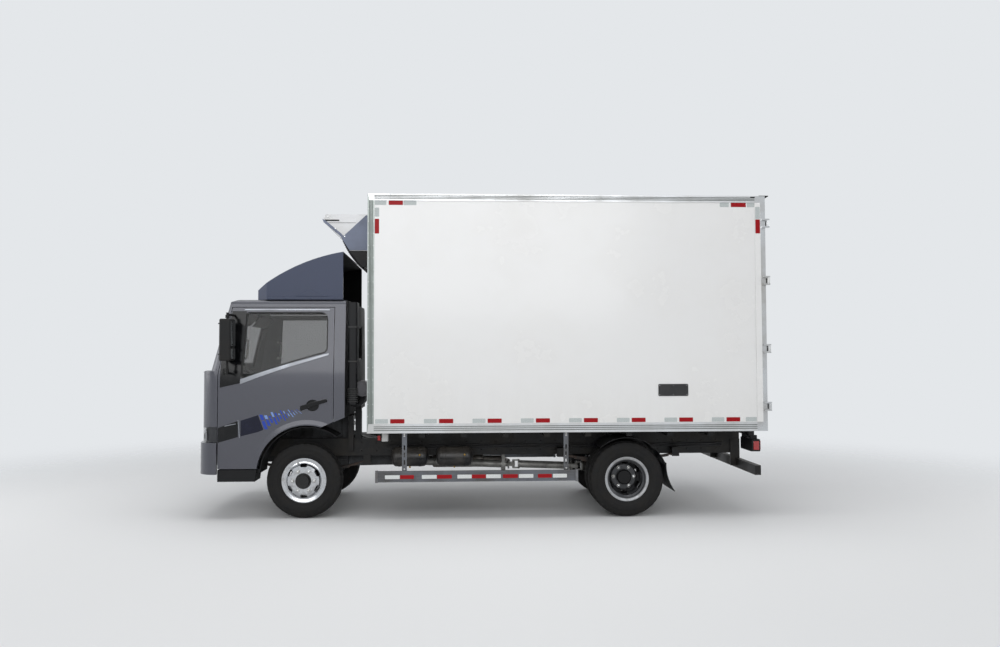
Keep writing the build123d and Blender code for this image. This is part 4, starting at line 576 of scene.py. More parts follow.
# Box panels: foam-cored sandwich panels with a white gelcoat face. The face waves very
# slightly with the core, and road film greys it towards the bottom.
gelcoat = surface(
    "white_gelcoat_sandwich_panel", "#f6f6f5", "#f1f0ed", (0.22, 0.4), patch=0.9, grain=0.02, relief=0.00015,
    wear=(0.45, 0.95), **{"Coat Weight": 0.3, "Coat Roughness": 0.12},
)
height = add_node(gelcoat["material"], "SeparateXYZ", {0: gelcoat["spot"]}).outputs[2]
streak_scale, wave_scale = (14.0, 14.0, 1.2), 2.2  # streaks 70 mm wide, waves 0.45 m long
streaks = add_node(gelcoat["material"], "Mapping", {"Vector": gelcoat["spot"], "Scale": streak_scale})
streaked = add_node(gelcoat["material"], "TexNoise", {"Vector": streaks.outputs[0], "Scale": 1.0, "Detail": 4.0})
rising = add_node(gelcoat["material"], "MapRange", {0: height, 1: 1.5, 2: 0.95, 4: 0.4})
film = add_node(
    gelcoat["material"], "Math", {0: rising.outputs[0], 1: streaked.outputs[0]}, operation="MULTIPLY"
)
greyed = add_node(gelcoat["material"], "Mix", {
    0: film.outputs[0], 6: gelcoat["colour"].outputs[2], 7: linear("#dddbd6"),
}, data_type="RGBA")
relink(gelcoat, "Base Color", greyed.outputs[2])
swell = add_node(gelcoat["material"], "TexNoise", {"Vector": gelcoat["spot"], "Scale": wave_scale, "Detail": 2.0})
waving = add_node(gelcoat["material"], "Bump", {
    "Height": swell.outputs[0], "Strength": 1.0, "Distance": 0.004, "Normal": gelcoat["skin"].outputs[0],
})
relink(gelcoat, "Normal", waving.outputs[0])
dress(gelcoat["material"], "box_side_walls", "box_front_wall", "box_roof", "box_left_door", "box_right_door")

# Box floor: resin over foam and plywood, with quartz grit against slipping.
gritted = surface(
    "gritted_floor_resin", "#8a8c8d", "#6b6863", (0.6, 0.85), patch=0.5, grain=0.0025, relief=0.0008
)["material"]
dress(gritted, "box_floor")

# Edge profiles: clear-anodised aluminium extrusions that cover every edge of the box, with
# die lines along them, fixed by rows of domed rivets.
anodised = surface(
    "clear_anodised_aluminium_extrusion", "#d3d5d7", "#a9a8a5", (0.28, 0.48), metallic=0.85, patch=0.5,
    grain=0.004, relief=0.00008,
)
line_scale = (2.0, 900.0, 900.0)  # lines 0.5 m long and about 1 mm apart
die_lines = add_node(anodised["material"], "Mapping", {"Vector": anodised["spot"], "Scale": line_scale})
drawn = add_node(anodised["material"], "TexNoise", {"Vector": die_lines.outputs[0], "Scale": 1.0, "Detail": 2.0})
lined = add_node(anodised["material"], "Bump", {
    "Height": drawn.outputs[0], "Strength": 0.5, "Distance": 0.00015, "Normal": anodised["skin"].outputs[0],
})
relink(anodised, "Normal", lined.outputs[0])
anodised = anodised["material"]
dress(anodised, "box_edge_rails")
# The floors of the profile's grooves get a darker colour: painted shade in the recesses.
groove_painted_shade = surface(
    "painted_shade_in_extrusion_grooves", "#6d7370", "#565955", (0.6, 0.8), metallic=0.2, patch=0.3, grain=0.003
)["material"]
# A darker copy of the anodising for the side faces of the front corner profiles: painted shade.
painted_shade_profile = surface(
    "anodised_aluminium_with_painted_shade", "#98a09c", "#7f8480", (0.35, 0.5), metallic=0.5, grain=0.004, relief=0.0001
)["material"]


def add_second(node, material, test):
    """Gives the polygons of a CAD node that pass a test a second material."""
    mesh = nodes[node].data
    mesh.materials.append(material)
    index = len(mesh.materials) - 1
    for polygon in mesh.polygons:
        if test(polygon.center, polygon.normal):
            polygon.material_index = index


rail_low, rail_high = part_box("box_edge_rails")
panel_y, rail_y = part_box("box_side_walls")[1].y, rail_high.y
# Painted shade on the side faces of the front corner profiles.
add_second("box_edge_rails", painted_shade_profile, lambda c, n: abs(n.y) > 0.9 and c.x > 1.119 and 1.0 < c.z < 3.28)
# Painted shade on the floors of the grooves.
groove_y = (rail_y - 0.004, rail_y - 0.002)
add_second("box_edge_rails", groove_painted_shade, lambda c, n: abs(n.y) > 0.9 and groove_y[0] < abs(c.y) < groove_y[1])
rivet_radius, rivet_pitch = 0.0055, 0.120
rivets = bmesh.new()


def rivet(form, place, outward):
    """Adds one domed rivet head that stands on a face."""
    place, outward = Vector(place), Vector(outward)
    rim = rivet_radius * 0.92
    round_bar(form, place - outward * 0.001, place + outward * 0.0015, rivet_radius, 10, rim)
    round_bar(form, place + outward * 0.0015, place + outward * 0.003, rim, 10, rivet_radius * 0.4)


for side in (-1, 1):
    for step in range(33):
        x = rail_low.x + 0.08 + step * rivet_pitch
        for z in (rail_low.z + 0.014, rail_low.z + 0.083, rail_high.z - 0.011, rail_high.z - 0.060):
            rivet(rivets, (x, side * rail_y, z), (0, side, 0))
    for step in range(18):
        z = rail_low.z + 0.17 + step * 0.125
        for x in (rail_high.x - 0.010, rail_high.x - 0.061):
            rivet(rivets, (x, side * rail_y, z), (0, side, 0))
        rivet(rivets, (rail_high.x, side * (rail_y - 0.045), z), (1, 0, 0))
make_piece("profile_rivets", rivets, anodised, "chassis")

# Rear corners: a white strip fills the step between each side panel and the steel frame, and
# a moulded rubber cap covers each top corner.


def side_prism(form, outline, near, far):
    """Adds a closed outline of (x, z) points carried from one y to another to a form."""
    skin_rings(form, [[form.verts.new((x, y, z)) for x, z in outline] for y in (near, far)])


infill_thick = 0.001
infills, caps = bmesh.new(), bmesh.new()
for side in (-1, 1):
    skin, proud = side * rail_y, side * (rail_y + infill_thick)
    side_prism(infills, ((-2.848, 0.995), (-2.912, 0.995), (-2.906, 3.284), (-2.848, 3.284)), skin, proud)
    side_prism(caps, (
        (-2.900, 3.3555), (-2.900, 3.362), (-2.999, 3.362), (-2.999, 3.354), (-2.960, 3.330), (-2.9585, 3.3555),
    ), side * 1.000, side * 1.110)
    side_prism(caps, ((-2.803, 3.334), (-2.852, 3.334), (-2.852, 3.346), (-2.803, 3.346)), skin, proud)
make_piece("rear_edge_infills", infills, gelcoat["material"], "chassis")
make_piece("rear_top_caps", caps, rubber, "chassis", edge=0.002)

# Reflective tape: prismatic film in red and silver, cut in strips with eased corners. The
# small cells under its clear face give it a fine lattice.
film_cells = 330.0  # to a metre, so each is 3 mm across


def prismatic_tape(name, face, cell_shade):
    """Makes the film in one colour."""
    made = new_material(name)
    spot = add_node(made, "TexCoord").outputs["Object"]
    cells = add_node(
        made, "TexVoronoi", {"Vector": spot, "Scale": film_cells, "Randomness": 0.15}, feature="DISTANCE_TO_EDGE"
    )
    rim = add_node(made, "MapRange", {0: cells.outputs["Distance"], 1: 0.02, 2: 0.12})
    colour = add_node(made, "Mix", {0: rim.outputs[0], 6: linear(cell_shade), 7: linear(face)}, data_type="RGBA")
    slight = add_node(made, "Bump", {"Height": rim.outputs[0], "Strength": 0.4, "Distance": 0.0002})
    shader = add_node(made, "BsdfPrincipled", {
        "Base Color": colour.outputs[2], "Roughness": 0.4, "Specular IOR Level": 0.25,
        "Normal": slight.outputs[0],
    })
    add_node(made, "OutputMaterial", {"Surface": shader.outputs[0]})
    return made


red_tape = prismatic_tape("red_prismatic_tape", "#a8000e", "#80000a")
silver_tape = prismatic_tape("silver_prismatic_tape", "#cfd5d4", "#9aa3a2")
tape_thick, tape_corner = 0.0009, 0.004


def strip(form, x, z, y, side):
    """Adds one strip of film with cut corners on a face that looks sideways."""
    (low_x, high_x), (low_z, high_z), c = sorted(x), sorted(z), tape_corner
    outline = (
        (low_x + c, low_z), (high_x - c, low_z), (high_x, low_z + c), (high_x, high_z - c),
        (high_x - c, high_z), (low_x + c, high_z), (low_x, high_z - c), (low_x, low_z + c),
    )
    side_prism(form, outline, side * y, side * (y + tape_thick))


tape_z, tape_pitch, top_tape_z = (0.9985, 1.043), 0.4962, (3.238, 3.284)
corner_x, frame_x = 1.113, -2.853
for side in (-1, 1):
    red, silver = bmesh.new(), bmesh.new()
    for step in range(8):
        strip(silver, (1.104 - step * tape_pitch, 0.972 - step * tape_pitch), tape_z, panel_y, side)
        strip(red, (0.950 - step * tape_pitch, 0.805 - step * tape_pitch), tape_z, panel_y, side)
    for form, x, z, y in (
        (silver, (-2.727, -2.844), tape_z, panel_y), (silver, (corner_x, 0.994), top_tape_z, panel_y),
        (red, (0.971, 0.825), top_tape_z, panel_y), (silver, (0.820, 0.687), top_tape_z, panel_y),
        (silver, (corner_x, corner_x - 0.045), (3.210, 3.117), panel_y),
        (red, (corner_x, corner_x - 0.045), (3.094, 2.942), panel_y),
        (silver, (-2.480, -2.576), top_tape_z, panel_y), (red, (-2.597, -2.757), top_tape_z, panel_y),
        (silver, (-2.768, -2.844), top_tape_z, panel_y),
        (silver, (frame_x, frame_x - 0.050), (3.240, 3.114), rail_y + infill_thick),
        (red, (frame_x, frame_x - 0.050), (3.108, 2.961), rail_y + infill_thick),
    ):
        strip(form, x, z, y, side)
    word = "left" if side > 0 else "right"
    make_piece(f"{word}_red_tape", red, red_tape, "chassis")
    make_piece(f"{word}_silver_tape", silver, silver_tape, "chassis")

# Side plate: a blank black plate of sheet metal, held by six cross-head screws.
plate_paint = surface(
    "satin_black_powder_coat", "#1a1b1d", "#2d2c2b", (0.35, 0.5), patch=0.1, grain=0.0012
)["material"]
screw_steel = surface(
    "bright_screw_steel", "#c4c6c8", "#8f8c86", (0.2, 0.4), metallic=1.0, patch=0.02, grain=0.001, relief=0.00005
)["material"]
plate_x, plate_z = (-2.125, -1.812), (1.265, 1.390)
plate = bmesh.new()
(rear_x, front_x), (low_z, high_z), cut = plate_x, plate_z, 0.008
side_prism(plate, (
    (rear_x + cut, low_z), (front_x - cut, low_z), (front_x, low_z + cut), (front_x, high_z - cut),
    (front_x - cut, high_z), (rear_x + cut, high_z), (rear_x, high_z - cut), (rear_x, low_z + cut),
), panel_y, panel_y + 0.004)
make_piece("side_plate", plate, plate_paint, "chassis", edge=0.001)
screws = bmesh.new()
for x in (plate_x[0] + 0.014, sum(plate_x) / 2, plate_x[1] - 0.014):
    for z in (plate_z[0] + 0.014, plate_z[1] - 0.014):
        round_bar(screws, (x, panel_y + 0.004, z), (x, panel_y + 0.0062, z), 0.0052, 14, 0.004)
make_piece("side_plate_screws", screws, screw_steel, "chassis")

# Rear frame and door gear: brushed stainless steel. The frame is welded and ground, the lock
# bars turn in bolted bearers.
brushed = surface(
    "brushed_stainless_steel", "#c7c9cb", "#98958f", (0.24, 0.42), metallic=0.95, patch=0.35, grain=0.003,
    relief=0.00008,
)
grind_scale = (700.0, 700.0, 3.0)  # upright marks 0.3 m long and 1.4 mm apart
grind = add_node(brushed["material"], "Mapping", {"Vector": brushed["spot"], "Scale": grind_scale})
ground_in = add_node(brushed["material"], "TexNoise", {"Vector": grind.outputs[0], "Scale": 1.0, "Detail": 3.0})
brushing = add_node(brushed["material"], "Bump", {
    "Height": ground_in.outputs[0], "Strength": 0.5, "Distance": 0.00012, "Normal": brushed["skin"].outputs[0],
})
relink(brushed, "Normal", brushing.outputs[0])
brushed = brushed["material"]
dress(brushed, "box_door_frame", "box_left_door_gear", "box_right_door_gear")

# Door seals: a black rubber lip round each leaf, over the joint with the frame.
rubber_seal = surface("extruded_epdm_rubber", "#18191a", "#35332f", (0.5, 0.72), patch=0.15)["material"]
door_face_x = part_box("box_left_door")[0].x
for word in ("left", "right"):
    low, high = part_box(f"box_{word}_door")
    seal = bmesh.new()
    for lip, stand in ((0.020, 0.0035), (0.008, 0.0065)):
        for y in (low.y, high.y - lip):
            solid_box(seal, (door_face_x - stand, y, low.z), (door_face_x + 0.001, y + lip, high.z))
        for z in (low.z, high.z - lip):
            solid_box(seal, (door_face_x - stand, low.y, z), (door_face_x + 0.001, high.y, z + lip))
    make_piece(f"{word}_door_seal", seal, rubber_seal, f"{word}_box_door", edge=0.0008)

# Door fittings: bolts in the bearers and straps, the lock bars' cams, and hand grips.
lock_bar_x = -2.978
for word, side in (("left", 1), ("right", -1)):
    fittings = bmesh.new()
    for bar_y in (0.250, 0.760):
        y = side * bar_y
        for level in (1.225, 2.050, 2.995):
            for bolt_y in (side * (bar_y - 0.030), side * (bar_y + 0.030)):
                round_bar(fittings, (-2.992, bolt_y, level), (-2.998, bolt_y, level), 0.008, 6)
        for level, half, radius in ((0.948, 0.012, 0.019), (3.272, 0.012, 0.019), (1.500, 0.028, 0.017)):
            round_bar(fittings, (lock_bar_x, y, level - half), (lock_bar_x, y, level + half), radius, 18)
        grip = sorted((side * (bar_y - 0.190), side * (bar_y - 0.160)))
        solid_box(fittings, (-2.996, grip[0], 1.487), (-2.974, grip[1], 1.513))
    for level in (1.155, 1.755, 2.465, 3.065):
        for offset in (0.06, 0.14, 0.21):
            y = side * (0.795 + offset)
            round_bar(fittings, (-2.978, y, level), (-2.984, y, level), 0.009, 6)
    make_piece(f"{word}_door_fittings", fittings, brushed, f"{word}_box_door", edge=0.0012)

# Rear tape and lamps: contour tape on the frame's posts and sill, ribbed rear lamps, and small
# marker lamps at the sides and on the header.
rear_red, rear_silver = bmesh.new(), bmesh.new()


def rear_strip(form, y, z):
    """Adds one strip of film on the rear frame's face."""
    solid_box(form, (door_face_x - tape_thick, min(y), min(z)), (door_face_x, max(y), max(z)))


for side in (-1, 1):
    for step in range(6):
        z = 1.010 + step * 0.38
        rear_strip(rear_red, (side * 1.052, side * 1.098), (z, z + 0.145))
        rear_strip(rear_silver, (side * 1.052, side * 1.098), (z + 0.160, z + 0.295))
for step in range(9):
    y = -1.02 + step * 0.235
    rear_strip(rear_red if step % 2 == 0 else rear_silver, (y, y + 0.150), (0.915, 0.960))
make_piece("rear_red_tape", rear_red, red_tape, "chassis")
make_piece("rear_silver_tape", rear_silver, silver_tape, "chassis")
lens_ribs = 55.0  # a rib about every 6 mm


def lens_material(name, colours, axis, bounds):
    """Makes a lamp's ribbed acrylic lens, its colour changing at bounds along an axis."""
    made = new_material(name)
    spot = add_node(made, "TexCoord").outputs["Object"]
    split = add_node(made, "SeparateXYZ", {0: spot})
    along = add_node(made, "Math", {0: split.outputs[axis]}, operation="ABSOLUTE").outputs[0]
    ribs_wave = add_node(made, "TexWave", {"Vector": spot, "Scale": lens_ribs}, bands_direction="Z")
    cross_wave = add_node(made, "TexWave", {"Vector": spot, "Scale": lens_ribs}, bands_direction="Y")
    pillow = add_node(made, "Math", {0: ribs_wave.outputs[1], 1: cross_wave.outputs[1]}, operation="MULTIPLY")
    relief = add_node(made, "Bump", {"Height": pillow.outputs[0], "Strength": 0.6, "Distance": 0.0015})
    colour = linear(colours[0])
    for bound, code in zip(bounds, colours[1:]):
        share = add_node(made, "MapRange", {0: along, 1: bound - 0.001, 2: bound + 0.001})
        banded = add_node(made, "Mix", {0: share.outputs[0], 6: colour, 7: linear(code)}, data_type="RGBA")
        colour = banded.outputs[2]
    shader = add_node(made, "BsdfPrincipled", {
        "Base Color": colour, "Roughness": 0.08, "Normal": relief.outputs[0], "Coat Weight": 1.0,
        "Coat Roughness": 0.03,
    })
    add_node(made, "OutputMaterial", {"Surface": shader.outputs[0]})
    return made


rear_lens = lens_material("ribbed_acrylic_rear_lens", ("#c9ccce", "#c4560c", "#b00f12"), 1, (0.745, 0.860))
red_lens = lens_material("ribbed_red_acrylic", ("#a90e12",), 1, ())
dress(moulding, "tail_lamps")
lamp_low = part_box("tail_lamps")[0]
lenses = bmesh.new()
for side in (-1, 1):
    y = sorted((side * 0.655, side * 0.985))
    solid_box(lenses, (lamp_low.x - 0.012, y[0], 0.687), (lamp_low.x + 0.004, y[1], 0.785))
make_piece("rear_lamp_lenses", lenses, rear_lens, "chassis", edge=0.008)
side_lens = bmesh.new()
for side in (-1, 1):
    y = sorted((side * 0.999, side * 1.006))
    solid_box(side_lens, (-2.905, y[0], 0.690), (-2.845, y[1], 0.782))
    y = sorted((side * 1.000, side * 1.090))
    solid_box(side_lens, (door_face_x - 0.010, y[0], 3.300), (door_face_x, y[1], 3.330))
make_piece("red_markers", side_lens, red_lens, "chassis", edge=0.004)

# Rear number plate: blank, in a black holder hung under the frame's end.
plate_white = surface(
    "retroreflective_white_plate", "#e2e2df", "#cfcdc7", (0.3, 0.45), patch=0.2, grain=0.0015, relief=0.0001
)["material"]
holder = bmesh.new()
solid_box(holder, (-2.912, -0.275, 0.655), (-2.904, 0.275, 0.785))
solid_box(holder, (-2.922, -0.060, 0.785), (-2.896, 0.060, 0.806))
for y in (-0.20, 0.20):
    solid_box(holder, (-2.905, y - 0.015, 0.700), (-2.840, y + 0.015, 0.706))
make_piece("rear_plate_holder", holder, moulding, "chassis", edge=0.002)
blank = bmesh.new()
solid_box(blank, (-2.9155, -0.260, 0.665), (-2.912, 0.260, 0.775))
make_piece("rear_plate", blank, plate_white, "chassis", edge=0.001)

# Cooling unit: white moulded covers over a steel frame, grey-blue below as painted shade and sky
# reflection, with a louvred black grille on the slope that leans out over the cab.
cover_white = surface(
    "moulded_white_asa_cover", "#e9eaec", "#d3d2ce", (0.25, 0.42), grain=0.0015, relief=0.0001, settles=0.15
)["material"]
# Grey-blue for the flat sides where the lower facets show shade and sky reflection: painted shade and reflection.
painted_shade_cover_grey = surface(
    "painted_shade_and_reflection_grey_blue", "#6b748a", "#606777", (0.35, 0.5), patch=0.3, grain=0.0015, relief=0.0001
)["material"]
dress(cover_white, "fridge_unit", "evaporator")
unit_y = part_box("fridge_unit")[1].y
add_second("fridge_unit", moulding, lambda c, n: n.z < -0.2 and c.z < 3.00)
for side in (-1, 1):
    # Each side gets grey-blue patches of painted shade and reflection, and a black cover.
    grey, black = bmesh.new(), bmesh.new()
    skin, proud = side * unit_y, side * (unit_y + 0.004)
    side_prism(
        grey, ((1.186, 3.207), (1.252, 3.207), (1.516, 2.958), (1.430, 2.826), (1.186, 2.826)), skin, proud
    )
    side_prism(grey, (
        (1.722, 3.165), (1.706, 3.128), (1.532, 2.984), (1.516, 2.962), (1.494, 2.982), (1.514, 3.004),
        (1.690, 3.150),
    ), skin, side * (unit_y + 0.005))
    side_prism(black, ((1.186, 2.822), (1.428, 2.822), (1.300, 2.648), (1.186, 2.648)), skin, proud)
    word = "left" if side > 0 else "right"
    make_piece(f"unit_{word}_painted_shade_cover", grey, painted_shade_cover_grey, "chassis", edge=0.0015)
    make_piece(f"unit_{word}_black_cover", black, moulding, "chassis", edge=0.0015)
slope_foot, slope_run = Vector((1.332, 0, 2.696)), Vector((0.168, 0, 0.256))
slope_out = Vector((slope_run.z, 0, -slope_run.x)).normalized()


def grille_line(share, y, out=0.0):
    """Gives a place on the grille's bulged slope, at a share of its length."""
    proud = 0.012 + 0.013 * math.sin(math.pi * share) + out
    return slope_foot + slope_run * share + slope_out * proud + Vector((0, y, 0))


louvres = bmesh.new()
slat_drop, slat_under, slat_back = Vector((0, 0, -0.010)), Vector((0, 0, -0.0025)), Vector((-0.003, 0, -0.003))
for step in range(15):
    for half in ((-0.560, -0.012), (0.012, 0.560)):
        ends = []
        for y in half:
            root = grille_line(step / 14, y)
            tip = root + slope_out * 0.006 + slat_drop
            ends.append([louvres.verts.new(p) for p in (root, tip, tip + slat_under, root + slat_back)])
        skin_rings(louvres, ends)
for y in (-0.575, -0.006, 0.561):
    for step in range(14):
        skin_rings(louvres, [
            [louvres.verts.new(grille_line(at / 14, y + wide, out))
             for out, wide in ((-0.02, 0), (0.004, 0), (0.004, 0.014), (-0.02, 0.014))]
            for at in (step, step + 1)
        ], ends=False)
make_piece("unit_grille", louvres, moulding, "chassis", edge=0.0008)

seams = bmesh.new()
for side in (-1, 1):
    y = sorted((side * (unit_y - 0.001), side * (unit_y + 0.0025)))
    solid_box(seams, (1.360, y[0], 3.122), (1.690, y[1], 3.125))
    solid_box(seams, (1.540, y[0], 3.142), (1.700, y[1], 3.157))
    for step in range(5):
        solid_box(seams, (1.22 + step * 0.022, y[0], 2.70), (1.232 + step * 0.022, y[1], 2.79))
for y in (-0.30, 0.30):
    solid_box(seams, (1.20, y - 0.002, 3.2145), (1.68, y + 0.002, 3.2165))
make_piece("unit_seams", seams, moulding, "chassis")
latch_form = bmesh.new()
for side in (-1, 1):
    for x, z in ((1.225, 3.165), (1.225, 2.86), (1.48, 2.975), (1.66, 3.19), (1.58, 3.06)):
        round_bar(latch_form, (x, side * unit_y, z), (x, side * (unit_y + 0.007), z), 0.007, 12)
make_piece("unit_latches", latch_form, screw_steel, "chassis", edge=0.0015)

# Evaporator fans: three wire guards over dark throats on the inner unit's sloping face.
throats, wires = bmesh.new(), []
eva_low, eva_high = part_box("evaporator")
face = (Vector((eva_low.x, 0, eva_high.z - 0.090)), Vector((eva_low.x + 0.14, 0, eva_low.z)))
fan_mid, fan_out = (face[0] + face[1]) / 2, Vector((-(face[0].z - face[1].z), 0, -0.14)).normalized()
fan_up = (face[0] - face[1]).normalized()
for y in (-0.38, 0.0, 0.38):
    hub = fan_mid + Vector((0, y, 0))
    round_bar(throats, hub, hub + fan_out * 0.003, 0.085, 36)
    for radius in (0.022, 0.042, 0.062, 0.082):
        wires.append([
            hub + fan_out * (0.016 - radius * 0.12) + fan_up * radius * math.cos(a * math.pi / 16)
            + Vector((0, radius * math.sin(a * math.pi / 16), 0)) for a in range(33)
        ])
    for a in range(6):
        arm = fan_up * math.cos(a * math.pi / 3) + Vector((0, math.sin(a * math.pi / 3), 0))
        wires.append([hub + fan_out * 0.015, hub + fan_out * 0.005 + arm * 0.086])
make_piece("evaporator_throats", throats, moulding, "chassis")
tube("evaporator_guards", wires, 0.0016, screw_steel, "chassis")

# Side guards: mill-finish aluminium rails on slotted posts, with moulded end caps and tape.
mill = surface(
    "mill_finish_aluminium", "#6b6e74", "#53504c", (0.38, 0.6), metallic=0.75, patch=0.3, grain=0.003,
    settles=0.2,
)["material"]
cap_grey = surface(
    "moulded_grey_nylon_cap", "#77797d", "#57544f", (0.5, 0.7), patch=0.1, grain=0.0015
)["material"]
dress(mill, "side_guards")
guard_low, guard_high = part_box("side_guards")
cap_front, cap_rear, cap_top = guard_high.x - 0.027, guard_low.x + 0.027, 0.52
add_second("side_guards", cap_grey, lambda c, n: (c.x > cap_front or c.x < cap_rear) and c.z < cap_top)
# The guard's silver film: a brighter copy of the box's silver film, a painted highlight.
guard_silver_film_painted_bright = prismatic_tape("silver_prismatic_tape_painted_brighter", "#eef0ef", "#c4c9c8")
# the guard's face, its strips' heights, and where each strip starts and ends
guard_y, guard_tape_z = 1.042, (0.4255, 0.4645)
guard_silver = (
    (1.008, 0.857), (0.631, 0.479), (0.267, 0.120), (-0.029, -0.181), (-0.367, -0.517), (-0.720, -0.865),
)
guard_red = ((0.855, 0.712), (0.477, 0.323), (0.118, -0.027), (-0.202, -0.357), (-0.564, -0.709))
red, silver = bmesh.new(), bmesh.new()
for side in (-1, 1):
    for form, strips in ((silver, guard_silver), (red, guard_red)):
        for x in strips:
            strip(form, x, guard_tape_z, guard_y, side)
make_piece("guard_red_tape", red, red_tape, "chassis")
make_piece("guard_silver_tape", silver, guard_silver_film_painted_bright, "chassis")
guard_bolts = bmesh.new()
for side in (-1, 1):
    for post_x in (-0.863, 0.812):
        for z in (0.520, 0.860, 0.880):
            round_bar(guard_bolts, (post_x, side * 1.0, z), (post_x, side * 1.012, z), 0.010, 6)
make_piece("guard_bolts", guard_bolts, zinc, "chassis", edge=0.001)

# Hang-ons at the box's front end: a pale junction box and a red isolator knob.
pale_moulding = surface(
    "moulded_pale_grey_abs", "#c9cac8", "#a3a09a", (0.4, 0.55), patch=0.1, grain=0.0015
)["material"]
red_moulding = surface(
    "moulded_red_nylon", "#b01218", "#7c1a1a", (0.35, 0.5), patch=0.08, grain=0.0015
)["material"]
junction = bmesh.new()
solid_box(junction, (0.985, 0.840, 0.800), (1.050, 0.955, 0.897))
solid_box(junction, (0.988, 0.955, 0.804), (1.047, 0.962, 0.893))
make_piece("junction_box", junction, pale_moulding, "chassis", edge=0.004)
isolator = bmesh.new()
solid_box(isolator, (1.064, 0.880, 0.812), (1.092, 0.950, 0.897))
round_bar(isolator, (1.078, 0.950, 0.850), (1.078, 0.972, 0.850), 0.016, 18)
make_piece("isolator", isolator, red_moulding, "chassis", edge=0.003)

# Cab body: pressed and welded steel panels in dark grey metallic paint under clear lacquer.
# Fine flakes sparkle under the gloss, and a lighter line is painted along the folded edges as a highlight.
flake_cells = 1400.0  # to a metre: 0.7 mm, far coarser than real flakes, so that they show


def metallic_paint(name, clean, soiled, edge, flake, lacquer):
    """Makes a flake paint under clear lacquer, with a painted highlight in a lighter colour on its folds."""
    parts = surface(
        name, clean, soiled, (0.42, 0.55), metallic=0.45, patch=0.8, grain=0.0012, relief=0.00004,
        wear=(0.5, 1.0), settles=0.1, round_edge=0.005, painted_edge_highlight=edge,
        **{"Coat Weight": lacquer, "Coat Roughness": 0.12},
    )
    flakes = add_node(parts["material"], "TexVoronoi", {"Vector": parts["spot"], "Scale": flake_cells})
    share = add_node(parts["material"], "SeparateXYZ", {0: flakes.outputs["Color"]})
    sparkle = add_node(parts["material"], "MapRange", {0: share.outputs[0], 1: 0.7, 2: 1.0, 4: 0.35})
    flaked = add_node(parts["material"], "Mix", {
        0: sparkle.outputs[0], 6: parts["colour"].outputs[2], 7: linear(flake),
    }, data_type="RGBA")
    relink(parts, "Base Color", flaked.outputs[2])
    return parts["material"]


# The third colour is painted on the folds as a painted highlight.
cab_paint = metallic_paint("dark_grey_metallic_clearcoat", "#45464e", "#404045", "#74767f", "#7b7d88", 0.7)
# The fairing takes the cab's paint, darkened and tinted blue: a painted reflection of the sky.
fairing_paint_with_painted_sky_tint = metallic_paint(
    "cab_paint_darkened_blue_as_painted_sky_reflection", "#1b263f", "#252d40", "#36435f", "#2f3d5e", 0.3
)
dress(cab_paint, "cab_frame", "cab_roof", "left_cab_door", "right_cab_door", "front_panel", "front_bumper")
dress(fairing_paint_with_painted_sky_tint, "roof_fairing")
trim = surface(
    "grained_grey_interior_trim", "#35373a", "#45433f", (0.55, 0.72), patch=0.3, grain=0.0014, relief=0.00025
)["material"]
headliner = surface(
    "needled_headliner_felt", "#8d8e8c", "#7a7974", (0.85, 0.95), patch=0.25, grain=0.0016, relief=0.0006,
    **{"Sheen Weight": 0.3},
)["material"]
gloss_black = surface(
    "gloss_black_moulded_abs", "#0b0c0e", "#1c1c1d", (0.12, 0.28), patch=0.2, grain=0.0015, relief=0.00004,
    round_edge=0.003, **{"Specular IOR Level": 0.3},
)["material"]
cab_middle = Vector((2.15, 0.0, 1.65))


def looks_inward(centre, normal):
    """Tells whether a face of the cab's walls looks into the cab."""
    towards = cab_middle - centre
    return normal.dot(towards) > 0.25 * towards.length


for name in ("cab_frame", "left_cab_door", "right_cab_door"):
    add_second(name, trim, looks_inward)
add_second("cab_roof", headliner, looks_inward)
# A dark sprayed stone-chip coating. On the rear walls of the cab and the roof the same dark colour is painted
# shade.
stone_guard_and_painted_shade = surface(
    "stone_chip_coating_and_painted_shade", "#121315", "#262523", (0.6, 0.8), grain=0.003, relief=0.0006,
    **{"Specular IOR Level": 0.25},
)["material"]
# Painted shade on the rear walls of the cab and roof; the cab's underside and the fairing's inner faces get the
# dark coating too.
add_second("cab_frame", stone_guard_and_painted_shade, lambda c, n: (n.x < -0.7 and c.x < 1.44) or n.z < -0.7)
add_second("cab_roof", stone_guard_and_painted_shade, lambda c, n: n.x < -0.7)
add_second("roof_fairing", stone_guard_and_painted_shade, lambda c, n: n.dot(Vector((1.6, 0.0, 2.2)) - c) > 0 and c.x < 2.39)
handle_x, handle_z, skin_side = (1.60, 1.90), (1.105, 1.260), 0.955
for name in ("left_cab_door", "right_cab_door"):
    mesh = nodes[name].data
    mesh.materials.append(gloss_black)
    for polygon in mesh.polygons:
        spot = polygon.center
        inside = handle_x[0] < spot.x < handle_x[1] and handle_z[0] < spot.z < handle_z[1]
        depths = [abs(mesh.vertices[v].co.y) for v in polygon.vertices]
        if inside and (max(depths) > skin_side + 0.002 or 0.90 < min(depths) < skin_side - 0.001):
            polygon.material_index = len(mesh.materials) - 1

# Cab glass: toughened side panes and a laminated screen, tinted against the sun, set in black
# rubber. The screen's edge is printed with black enamel that hides the bond.
tinted_glass = new_material("tinted_float_glass")
smears = add_node(tinted_glass, "TexNoise", {
    "Vector": add_node(tinted_glass, "TexCoord").outputs["Object"], "Scale": 5.0, "Detail": 5.0,
})
hazy = add_node(tinted_glass, "MapRange", {0: smears.outputs[0], 1: 0.4, 2: 0.9, 3: 0.01, 4: 0.09})
pane = add_node(tinted_glass, "BsdfPrincipled", {
    "Base Color": linear("#080c0b"), "Roughness": hazy.outputs[0], "IOR": 1.52, "Alpha": 0.36,
})
add_node(tinted_glass, "OutputMaterial", {"Surface": pane.outputs[0]})
dress(tinted_glass, "cab_glass", "left_door_glass", "right_door_glass")
enamel = surface(
    "printed_black_ceramic_enamel", "#08090a", "#101112", (0.15, 0.25), patch=0.2, relief=0.00003
)["material"]


